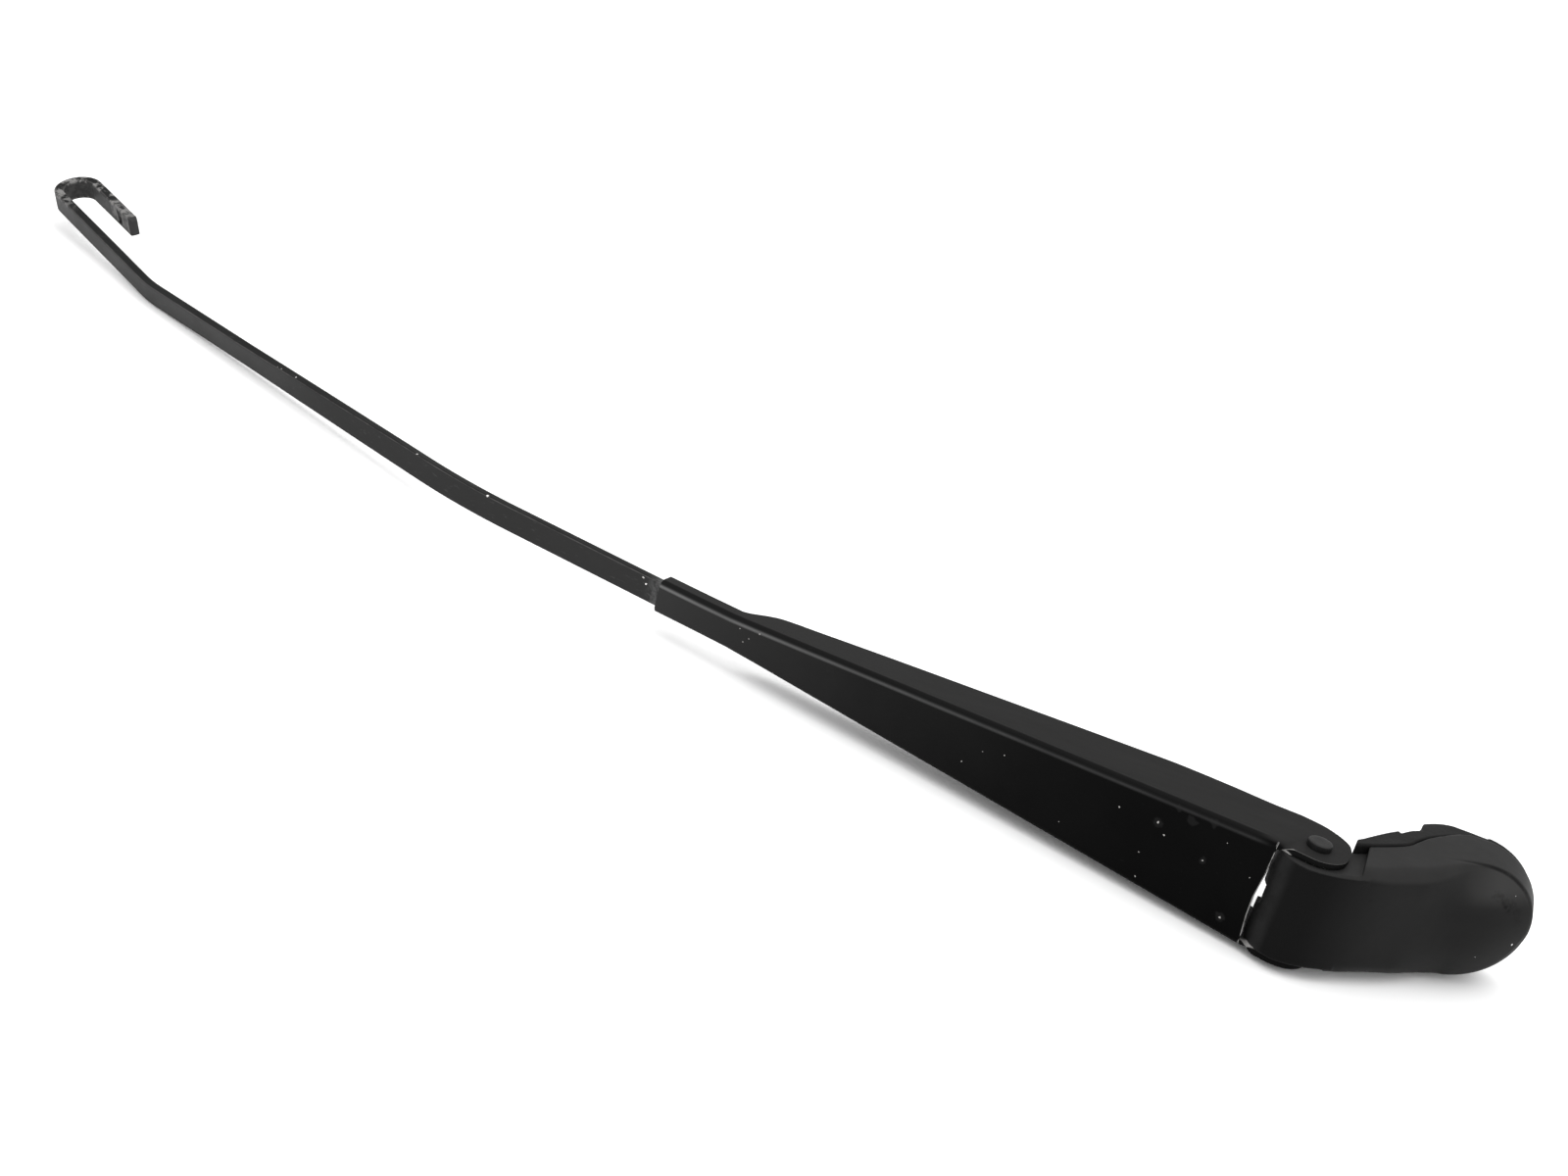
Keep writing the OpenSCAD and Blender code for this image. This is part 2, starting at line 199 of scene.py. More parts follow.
FACE = [[0, -11.3], [4, -10.4], [8, -8.8], [12, -6.6], [16, -4.1], [20, -1.4], [24.5, 2], [29, 5.8], [33.5, 9.7], [38, 13.5],
        [42, 16.7], [46, 19.6], [50, 22.1], [54, 24.2], [58, 26.1], [62, 27.9], [66, 29.6], [72, 32.1], [85, 37.6]]
TONGUE = [[11.3 * math.cos(math.radians(a)), 11.3 * math.sin(math.radians(a))] for a in np.linspace(185, 267, 26)]
FRONT = TONGUE + smooth_line(FACE, 1.0).tolist() + [[85, 100], [TONGUE[0][0], 100]]
REAR = [[72, 47.2]] + smooth_line([[46, 47.2], [42.6, 46.5], [39.5, 44.3], [34.5, 38.9], [30.9, 34.2], [28.3, 29.5], [25.4, 24.2], [19.4, 17.9],
                                   [14.4, 13.4]], 0.8).tolist() + [[9.5, 9.4], [5.5, 9.2], [0, 8.6], [-5, 7], [-8.5, 3.5], [-11.4, -1], [-60, -1], [-60, -60], [100, -60], [100, 47.2]]


def half_width(x):
    return 19.9 + 1.1 * smoothstep(26, 49, x)


def side_wall(x, y, z, inset=0.0):
    """The cover's side wall and round end, with a little draft towards the front."""
    d = np.where(x < 49, np.abs(z) - half_width(x), np.hypot(x - 49, z) - 21.0)
    return d + 0.02 * (44 - np.clip(y, -10, 48)) + inset


def dome_drop(x, y, z):
    """How far the crowned face falls away towards the wall."""
    d = -side_wall(x, y, z)
    return 6.9 * (1 - np.clip(d / 18.5, 0, 1)) ** 2 * smoothstep(33, 50, x) + 0.9 * (1 - np.clip(d / 9, 0, 1)) ** 2 * (1 - smoothstep(33, 50, x)) * smoothstep(15, 26, x)


def cap_solid(x, y, z):
    a = poly_sd(x, y, FRONT)
    wall = side_wall(x, y, z)
    drop = dome_drop(x, y, z)
    groove = 29.3 + 0.4228 * (x - 48.9)
    wall = wall + 0.34 * np.exp(-((y - groove) / 0.7) ** 2) * smoothstep(38, 48, x)
    soft = 4.2 - 3.5 * smoothstep(34, 50, x) + 1.2 * np.clip(-z / 4, 0, 1)
    body = cut(cut(a + drop, wall, soft), 14.4 - x, 0.35)
    tongue = np.maximum(cut(a, np.abs(z) - 16.7, 1.1), x - 17)
    outer = join(body, tongue, 0.01 + 0.39 * smoothstep(14.5, 16.5, np.abs(z)))
    rear = poly_sd(x, y, REAR)
    outer = cut(outer, rear, 0.35)
    hb = cut(cut(a + drop + 2.2, wall + 2.1, 2.0), 16.6 - x, 0.5)
    ht = np.maximum(np.maximum(a + 2.2, np.abs(z) - 14.7), x - 19)
    hollow = np.minimum(hb, ht)
    hollow = np.minimum(hollow, np.maximum(np.maximum(np.abs(z) - 14.7, -1 - y), x + 6))
    hollow = np.minimum(hollow, np.hypot(x, y) - 2.82)
    c, s = math.cos(math.radians(205)), math.sin(math.radians(205))
    wedge = np.maximum(np.maximum(x * (-s) + y * c, np.abs(z) - 3), x + 0.5)
    hollow = np.minimum(hollow, wedge)
    return cut(outer, -hollow, 0.3)


V, Q = nets(cap_solid, (-13, -13, -22.4), (73, 49, 22.4), 0.56)
cap = make("nut_cover_shell", row_of_head(V), Q, "cover", ["nut_cap"])

RIM_FRONT = smooth_line([[10.2, 10.3], [14.3, 13.7], [19.2, 18.1], [25.4, 24.6], [28.1, 30], [30.7, 34.7], [34.4, 39.4], [39.4, 44.8], [42.6, 47.1],
                         [46, 47.7]], 0.8).tolist()
RIM_REAR = smooth_line([[42, 51.5], [38, 51.2], [35.2, 50], [32.5, 48], [28.8, 44.2]], 1.0).tolist() + smooth_line([[28.5, 38.6], [25.4, 35.4], [22.6, 30.9]], 1.0).tolist() + \
    smooth_line([[21.9, 32.2], [18.3, 27], [14.3, 20.6], [11.8, 16.4], [10.2, 14.2]], 1.0).tolist()
LUG = [[-5.6, 5.8], [-5, 11.6], [3.2, 12], [10.2, 13], [14.3, 20.6], [23, 28], [24, 5.5], [17, 0.4], [12.6, -2.9], [8.5, -5.3], [3.4, -7.4]]
BEHIND = RIM_REAR + [[10.2, -60], [100, -60], [100, 48.5], [46, 48.5]]
RING_POCKET = [[19.5, 60], [19.5, 14.5], [23, 14.5], [31.5, 26.5], [31.5, 60]]


def plan(x, z, hw, r, x0):
    return np.where(x < 49, np.maximum(np.abs(z) - hw, x0 - x), np.hypot(x - 49, z) - r)


def head_solid(x, y, z):
    a = poly_sd(x, y, FRONT)
    az = np.abs(z)
    rp = np.hypot(x, y)
    sp = np.hypot(x - 49, z)
    body = cut(a + dome_drop(x, y, z) + 2.95, plan(x, z, 17.2, 17.6, 10), 1.4)
    body = cut(body, poly_sd(x, y, BEHIND), 0.6)
    body = np.maximum(body, -np.maximum(14.3 - az, rp - 23.1))
    rim = cut(poly_sd(x, y, RIM_FRONT + [[72, 47.8], [72, 51.5]] + RIM_REAR), plan(x, z, 19.8, 20.2, 10.2), 0.5)
    lug = np.minimum(np.minimum(rp - 8.2, np.hypot(x + 1, y - 9) - 5), poly_sd(x, y, LUG))
    lug = cut(lug, az - 14.2, 0.4)
    d = join(join(body, rim, 0.8), lug, 0.8)
    slot = np.maximum(np.maximum(az - 3, x - 13), y - 25)
    neg = np.minimum(slot, rp - 4)
    neg = np.minimum(neg, np.hypot(x + 1, y - 9) - 2.25)
    neg = np.minimum(neg, cut(sp - 12.5, y - 33, 0.8))
    neg = np.minimum(neg, np.maximum(sp - 5.1, 20 - y))
    neg = np.minimum(neg, np.maximum(sp - (6.2 + (y - 39) / 10), np.abs(y - 44) - 5.01))
    neg = np.minimum(neg, np.maximum(sp - 7.8, 49 - y))
    neg = np.minimum(neg, np.maximum(sp - 16.1, 41 - y))
    hub = cut(cut(sp - 11.2, y - 49, 0.4), 30 - y, 0.2)
    hub = np.maximum(hub, -np.minimum(np.minimum(np.maximum(sp - 5.1, 20 - y), np.maximum(sp - (6.2 + (y - 39) / 10), np.abs(y - 44) - 5.01)),
                                      cut(sp - 12.5, y - 33, 0.3)))
    pocket = np.maximum(poly_sd(x, y, RING_POCKET), az - 12)
    neg = np.minimum(neg, pocket)
    d = cut(d, -neg, 0.35)
    return np.minimum(d, hub)


V, Q = nets(head_solid, (-9, -10, -21.2), (70.6, 53, 21.2), 0.62)
head_shell = make("head_casting", row_of_head(V), Q, "head", ["arm_head"])

# ------------------------------------------------------------------ channel, folded from one sheet
FLANGE = np.array([[-205, -2.9], [-202.5, -2.2], [-200, -0.6], [-198, 0.9], [-196, 2.2], [-194, 3.3], [-191.5, 4.1], [-186, 4.9], [-180, 5.4],
                   [-155, 8], [-120, 11.1], [-85.6, 14.1], [-60, 16.2], [-50, 16.8], [-33, 16.5], [-19, 15.7], [-7, 15.9], [-1.7, 15.4],
                   [2.4, 13.9], [5, 12.4], [6.9, 10.7], [8, 8.6], [8.8, 6.2], [9.2, 3.9], [9.4, 0.2]])


def channel():
    web_y, back_y, r, rb = -9.0, -1.4, 2.7, 1.6
    end = 9.38
    xs = np.concatenate([np.array([-234.6, -234.3, -233.6]), np.linspace(-232, -207, 14), np.array([-206, -205.4, -205.0]),
                         np.linspace(-204.2, -190, 16), np.linspace(-188, -16, 74), np.linspace(-15, -11.2, 6)])
    n_end = len(xs)
    # the last web column follows the sheared end
    xs = np.concatenate([xs, [-10.5], np.linspace(-9.9, 4, 26), 4 + (end - 4) * np.sin(np.linspace(0.1, 1, 12) * math.pi / 2)])
    fl = smooth_line(FLANGE, 0.7)
    fx, fy = fl[:, 0], fl[:, 1]
    order = np.argsort(fx)
    fx, fy = fx[order], fy[order]
    half = []
    nlip, nrf, nfl, nff, nwb = 4, 7, 14, 11, 22
    for ix, x in enumerate(xs):
        hw = 6.3 + (18.9 - 6.3) * np.clip((x + 205) / 194.5, 0, 1)
        hw += 0.12 * math.exp(-((x + 205) / 9) ** 2)
        row = []
        # lip and rear fold (used only in the sleeve)
        for k in range(nlip):
            row.append((back_y, 0.35 + (hw - rb - 0.35) * k / nlip))
        for k in range(nrf):
            t = math.pi / 2 * k / nrf
            row.append((back_y - rb + rb * math.cos(t), hw - rb + rb * math.sin(t)))
        top = back_y - rb if x <= -204.99 else max(float(np.interp(x, fx, fy)), -3.6)
        front = web_y + r
        m = float(smoothstep(-10.5, -4.5, x))
        yf = -math.sqrt(9.4 ** 2 - max(x, 0) ** 2) if x > 0 else -9.4 + 0.35 * float(smoothstep(-3, -10.5, x))
        join_y = front * (1 - m) + (top + (yf - top) * nfl / (nfl + nff)) * m
        for k in range(nfl):
            row.append((top + (join_y - top) * k / nfl, hw))
        for k in range(nff + 1):
            t = math.pi / 2 * k / nff
            y1, z1 = front - r * math.sin(t), hw - r + r * math.cos(t)
            y2, z2 = join_y + (yf - join_y) * (k / nff), hw
            row.append((y1 + (y2 - y1) * m, z1 + (z2 - z1) * m))
        half.append((hw, row))
    nh = len(half[0][1])
    V, G = [], {}
    for i, x in enumerate(xs):
        hw, row = half[i]
        rows = [(y, z) for y, z in row]
        zin = row[-1][1]
        web = [(row[-1][0], zin * (1 - 2 * k / nwb)) for k in range(1, nwb)]
        full = rows + web + [(y, -z) for y, z in reversed(rows)]
        for j, (y, z) in enumerate(full):
            xx = x
            if i <= n_end and x > -30:
                # slight bow of the sheared end
                s = float(smoothstep(-30, -10.5, x))
                zz = np.clip(z, -18, 18)
                xx = x + s * float(np.interp(zz, [-16, -8.3, -1.4, 6.8, 17], [0.3, -0.45, -0.6, 0.2, 0.5])) * float(1 - smoothstep(-7.5, -5.5, y))
            # a little waviness of pressed sheet
            wob = 0.05 * math.sin(x / 13.0 + z / 5.0) + 0.04 * math.sin(x / 7.0 - z / 3.0)
            web_zone = float(smoothstep(hw, hw - 4, abs(z))) if y < -8.5 else 0.0
            if x < -234.3:
                pass
            V.append((xx, y + wob * web_zone, z))
            G[(i, j)] = len(V) - 1
    nj = 2 * nh + nwb - 1
    lip_end, web0, web1 = nlip + nrf, nh - 1, nh + nwb - 1
    F = []
    for i in range(len(xs) - 1):
        xa = xs[i]
        for j in range(nj - 1):
            in_lip = j < lip_end or j >= nj - 1 - lip_end
            in_web = web0 <= j < web1
            if in_lip and xa >= -205.01:
                continue
            if in_web and i >= n_end:
                continue
            F.append((G[(i, j)], G[(i, j + 1)], G[(i + 1, j + 1)], G[(i + 1, j)]))
    used = sorted({v for f in F for v in f})
    remap = {v: k for k, v in enumerate(used)}
    bare = np.zeros(len(V))
    for j in range(web0 - 6, web1 + 7):
        bare[G[(n_end, j)]] = 1.0
    for i in range(n_end, len(xs)):
        bare[G[(i, web0)]] = bare[G[(i, web1)]] = 0.62
    # place across the fold: 0 on the side wall, 1 where the front face begins
    phi = np.zeros(len(V))
    f0 = lip_end + nfl
    for (i, j), v in G.items():
        jj = min(j, nj - 1 - j)
        phi[v] = 0.0 if jj < f0 else (jj - f0) / nff if jj <= f0 + nff else min(2.0, 1 + (jj - f0 - nff) * 0.5)
    V = np.array(V)[used]
    F = [tuple(remap[v] for v in f) for f in F]
    return V, F, bare[used], phi[used]


V, F, bare, phi = channel()
chan = make("channel_sheet", row_of_arm(V), F, "arm", ["retainer_channel"], {"bare": bare, "phi": phi})
m = chan.modifiers.new("sheet", "SOLIDIFY")
m.thickness = 1.78 / 1000
m.offset = -1
m.use_even_offset = True
m.use_rim = True
bevel(chan, 0.28, 2, 50)


# ------------------------------------------------------------------ bar, swept along its bends
def mat_t(x, y, z):
    m = np.eye(4)
    m[:3, 3] = (x, y, z)
    return m


def mat_r(axis, deg):
    a = math.radians(deg)
    c, s = math.cos(a), math.sin(a)
    m = np.eye(4)
    i, j = {"x": (1, 2), "z": (0, 1)}[axis]
    m[i, i] = m[j, j] = c
    m[i, j], m[j, i] = -s, s
    return m


def bar_stations():
    M = mat_t(-162.5, -0.7, 0) @ mat_r("z", 180)
    out = []

    def run(l, step=2.2):
        nonlocal M
        n = max(1, int(round(l / step)))
        for k in range(n):
            out.append((M @ mat_t(l * k / n, 0, 0), 1, 1))
        M = M @ mat_t(l, 0, 0)

    def bend(r, a, roll=0, step=3.0):
        nonlocal M
        A, B = mat_r("x", roll) @ mat_t(0, -r, 0), mat_t(0, r, 0) @ mat_r("x", -roll)
        n = max(2, int(math.ceil(a / step)))
        for k in range(n):
            out.append((M @ A @ mat_r("z", -a * k / n) @ B, 1, 1))
        M = M @ A @ mat_r("z", -a) @ B

    run(10)
    bend(8, 25, 180)
    run(7.1)
    bend(8, 25)
    run(48.9, 4)
    bend(150, 0.74)
    run(66.2, 3)
    bend(248.6, 10.5, step=0.6)
    run(8.5)
    for k in range(44):
        out.append((M @ mat_t(106 * k / 44, 0, 0) @ mat_r("x", -20 * k / 44), 1, 1))
    M = M @ mat_t(106, 0, 0) @ mat_r("x", -20)
    run(65.5, 2.5)
    bend(90, 8, -24, step=0.5)
    run(83.8, 2.0)
    bend(8.5, 180, step=4)
    leg0 = len(out)
    run(36.6, 0.35)
    for k, s in ((0, 1), (0.35, 0.985), (0.9, 0.92), (1.6, 0.84), (2.2, 0.77)):
        out.append((M @ mat_t(k, 0, 0), s, 1 - (1 - s) * 1.25))
    return out, leg0


def bar_section(w, t, r):
    pts, edge = [], []
    for cx, cy, a0 in ((t / 2 - r, w / 2 - r, 0), (-t / 2 + r, w / 2 - r, 90), (-t / 2 + r, -w / 2 + r, 180), (t / 2 - r, -w / 2 + r, 270)):
        for k in range(5):
            a = math.radians(a0 + 90 * k / 4)
            pts.append((cx + r * math.cos(a), cy + r * math.sin(a)))
            edge.append(1.0)
        nxt = {0: (6, 0), 90: (14, 1), 180: (6, 0), 270: (14, 1)}[a0][0]
        n = nxt
        ax, ay = pts[-1]
        bx, by = {0: (-t / 2 + r, w / 2), 90: (-t / 2, -w / 2 + r), 180: (t / 2 - r, -w / 2), 270: (t / 2, w / 2 - r)}[a0]
        for k in range(1, n):
            f = k / n
            pts.append((ax + (bx - ax) * f, ay + (by - ay) * f))
            edge.append(max(0.0, 1 - min(k, n - k) * (math.hypot(bx - ax, by - ay) / n) / 0.7))
    return np.array(pts), np.array(edge)


st, leg0 = bar_stations()
sec, edge = bar_section(9.0, 4.0, 0.62)
ns = len(sec)
V, E, S = [], [], []
run_len = 0.0
prev = None
for i, (M, sw, stt) in enumerate(st):
    o3 = M[:3, 3]
    if prev is not None:
        run_len += float(np.linalg.norm(o3 - prev))
    prev = o3
    loc = np.stack([np.zeros(ns), sec[:, 0] * stt, sec[:, 1] * sw, np.ones(ns)], 1)
    if i >= leg0:
        # square stamped notch in the inner face of the return leg
        u = run_len_leg = float(np.linalg.norm(o3 - st[leg0][0][:3, 3]))
        du = max(0.0, 1.55 - abs(u - 27.2))
        depth = min(1.0, du / 0.35)
        inner = sec[:, 0] < -1.99
        zz = sec[:, 1]
        dz = np.clip((1.75 - np.abs(zz + 1.0)) / 0.35, 0, 1)
        loc[:, 1] += np.where(inner, 1.0 * depth * dz, 0)
        # upset lip beside the notch
        lip = math.exp(-((u - 25.0) / 0.7) ** 2)
        loc[:, 1] -= np.where(inner & (zz > -3.6), 0.18 * lip, 0)
    V.append((M @ loc.T).T[:, :3])
    E.append(edge)
    S.append(np.full(ns, run_len))
V = np.vstack(V)
nst = len(st)
F = [(i * ns + k, i * ns + (k + 1) % ns, (i + 1) * ns + (k + 1) % ns, (i + 1) * ns + k) for i in range(nst - 1) for k in range(ns)]
F = [f[::-1] for f in F]
# end faces with a centre fan, so that they stay smooth
V = np.vstack([V, V[:ns].mean(0), V[-ns:].mean(0)])
c0, c1 = len(V) - 2, len(V) - 1
F += [(c0, k, (k + 1) % ns)[::-1] for k in range(ns)] + [(c1, (nst - 1) * ns + k, (nst - 1) * ns + (k + 1) % ns) for k in range(ns)]
E = np.concatenate(E + [[0.3, 0.3]])
S = np.concatenate(S + [[0.0, run_len]])
bar = make("bar_steel", row_of_arm(V), F, "arm", ["arm_rod"], {"edge": E, "along": S / 1000})
sharp(bar, 50)


# ------------------------------------------------------------------ turned pieces
def lathe(name, profile, body, replaced, n=72, frame_fn=row_of_arm, at=(0, 0)):
    V, F = [], []
    p = profile
    for r, z in p:
        for k in range(n):
            a = 2 * math.pi * k / n
            V.append((at[0] + r * math.cos(a), at[1] + r * math.sin(a), z))
    for i in range(len(p) - 1):
        for k in range(n):
            F.append((i * n + k, i * n + (k + 1) % n, (i + 1) * n + (k + 1) % n, (i + 1) * n + k))
    V += [(at[0], at[1], p[0][1]), (at[0], at[1], p[-1][1])]
    F += [(len(V) - 2, (k + 1) % n, k) for k in range(n)]
    F += [(len(V) - 1, (len(p) - 1) * n + k, (len(p) - 1) * n + (k + 1) % n) for k in range(n)]
    o = make(name, frame_fn(V), F, body, replaced)
    sharp(o, 40)
    return o


def pin_head(s):
    top = [(3.7, 18.92), (3.84, 19.05), (3.85, 20.3), (3.79, 20.56), (3.62, 20.75), (3.36, 20.84), (2.6, 20.88), (1.6, 20.9), (0.9, 20.9), (0.3, 20.9)]
    return [(r, s * z) for r, z in top]


pin = lathe("pin_riveted", [(r, z) for r, z in reversed(pin_head(-1))] + [(2.75, -18.9), (2.75, -17), (2.75, 0), (2.75, 17), (2.75, 18.9)] + pin_head(1),
            "arm", ["hinge_pin"])
cross = lathe("cross_pin", [(0.4, -13.8), (1.9, -13.8), (2.15, -13.65), (2.25, -13.4), (2.25, -3), (2.25, 3), (2.25, 13.4), (2.15, 13.65), (1.9, 13.8), (0.4, 13.8)],
              "head", ["link_pin"], frame_fn=row_of_head, at=(-1, 9))


def bush_piece(s):
    n = 64
    prof = [(2.82, 3.0), (3.85, 3.0), (4.0, 3.15), (4.0, 14.15), (3.85, 14.3), (2.95, 14.3), (2.82, 14.15)]
    V, F = [], []
    for r, z in prof:
        for k in range(n):
            a = 2 * math.pi * k / n
            V.append((r * math.cos(a), r * math.sin(a), s * z))
    m = len(prof)
    for i in range(m):
        for k in range(n):
            f = (i * n + k, i * n + (k + 1) % n, ((i + 1) % m) * n + (k + 1) % n, ((i + 1) % m) * n + k)
            F.append(f if s > 0 else f[::-1])
    name = "upper" if s > 0 else "lower"
    o = make("bush_" + name, row_of_head(V), F, "head", ["pivot_bush_" + name])
    sharp(o, 40)
    return o


bushes = [bush_piece(1), bush_piece(-1)]

# ------------------------------------------------------------------ spring link and spring
LINK_C = (-1 * C10 - 9 * S10, -1 * S10 + 9 * C10)
HOOK_A = (-168.0, -0.7)
PULL = math.atan2(LINK_C[1] - HOOK_A[1], LINK_C[0] - HOOK_A[0])
SPAN = math.hypot(LINK_C[0] - HOOK_A[0], LINK_C[1] - HOOK_A[1]) - 34


def along_pull(p, origin):
    p = np.asarray(p, float).reshape(-1, 3)
    c, s = math.cos(PULL), math.sin(PULL)
    return row_of_arm(np.stack([origin[0] + p[:, 0] * c - p[:, 1] * s, origin[1] + p[:, 0] * s + p[:, 1] * c, p[:, 2]], 1))


def link_solid(x, y, z):
    poly = [[1, -4], [-2.6, -1], [-5.2, 2.8], [-7.2, 5.6], [-8.6, 6.6], [-10.6, 6.5], [-12.8, 5.7], [-15, 4.5], [-17.4, 2], [-19.4, -0.8],
            [-23, -2.2], [-34, -2.6], [-34, 3.2], [-28, 2.4], [-23.5, 2.8], [-20, 5.4], [-16.4, 8.2], [-12.6, 9.6], [-8.8, 9.9], [-5, 8.6],
            [-1.5, 6.4], [1, 4]]
    d = join(join(poly_sd(x, y, poly), np.hypot(x, y) - 4.2, 1.5), np.hypot(x + 34, y) - 4, 1.5)
    d = cut(d, np.abs(z) - 2, 0.35)
    holes = np.minimum(np.hypot(x, y) - 2.32, np.hypot(x + 34, y) - 2.2)
    return cut(d, -holes, 0.3)


V, Q = nets(link_solid, (-39, -5.5, -2.8), (5, 11.4, 2.8), 0.4)
link = make("link_plate", along_pull(V, LINK_C), Q, "link", ["spring_link"])


def wire(name, path, r, sides, body, replaced):
    p = np.asarray(path, float)
    t = np.gradient(p, axis=0)
    t /= np.linalg.norm(t, axis=1)[:, None]
    nrm = np.array([0.1, 0.2, 1.0])
    V = []
    for i in range(len(p)):
        nrm = nrm - t[i] * (nrm @ t[i])
        nrm = nrm / np.linalg.norm(nrm)
        b = np.cross(t[i], nrm)
        rr = r * (0.75 if i in (0, len(p) - 1) else 1.0)
        for k in range(sides):
            a = 2 * math.pi * k / sides
            V.append(p[i] + rr * (math.cos(a) * nrm + math.sin(a) * b))
    F = [(i * sides + k, i * sides + (k + 1) % sides, (i + 1) * sides + (k + 1) % sides, (i + 1) * sides + k)
         for i in range(len(p) - 1) for k in range(sides)]
    V += [p[0], p[-1]]
    F += [(len(V) - 2, (k + 1) % sides, k) for k in range(sides)]
    F += [(len(V) - 1, (len(p) - 1) * sides + k, (len(p) - 1) * sides + (k + 1) % sides) for k in range(sides)]
    o = make(name, along_pull(V, HOOK_A), F, body, replaced)
    return o


x0, x1, COILS, per = 15.0, SPAN - 9, 31, 28
rear = [(3.4 + 3.3 * math.cos(math.radians(270 - 11.25 * i)), 3.3 * math.sin(math.radians(270 - 11.25 * i)), 0) for i in range(17)]
lead = smooth_line([rear[-1], (7, 3.5, 0), (11, 4.3, 0.1), (13.6, 4.8, -0.3), (x0, 5.0, 0)], 0.8)[1:-1].tolist()
helix = [(x0 + (x1 - x0) * i / (COILS * per), 5 * math.cos(2 * math.pi * i / per), 5 * math.sin(2 * math.pi * i / per)) for i in range(COILS * per + 1)]
close = [(x1 + 1.9 * math.sin(k / 20 * math.pi / 2), (5 - 0.6 * k / 20) * math.cos(2 * math.pi * k / per), (5 - 0.6 * k / 20) * math.sin(2 * math.pi * k / per)) for k in range(1, 21)]
coil = wire("spring_coil", rear + lead + helix + close, 1.1, 12, "arm", ["tension_spring"])
eye = [(SPAN - 30 + k * 1.5, 0.35, 0) for k in range(12)]
eye += smooth_line([(SPAN - 12, 0.35, 0), (SPAN - 9.5, 0.3, 1.0), (SPAN - 7.4, 0.1, 3.2), (SPAN - 4.2, 0, 4.2)], 0.6)[:-1].tolist()
eye += [(SPAN - 4.2 + 4.2 * math.cos(math.radians(90 - 9 * i)), 0, 4.2 * math.sin(math.radians(90 - 9 * i))) for i in range(21)]
eye += [(SPAN - 5.2, 0, -4.15), (SPAN - 6.4, 0, -3.9)]
front_eye = wire("spring_front_eye", eye, 1.1, 12, "link", [])


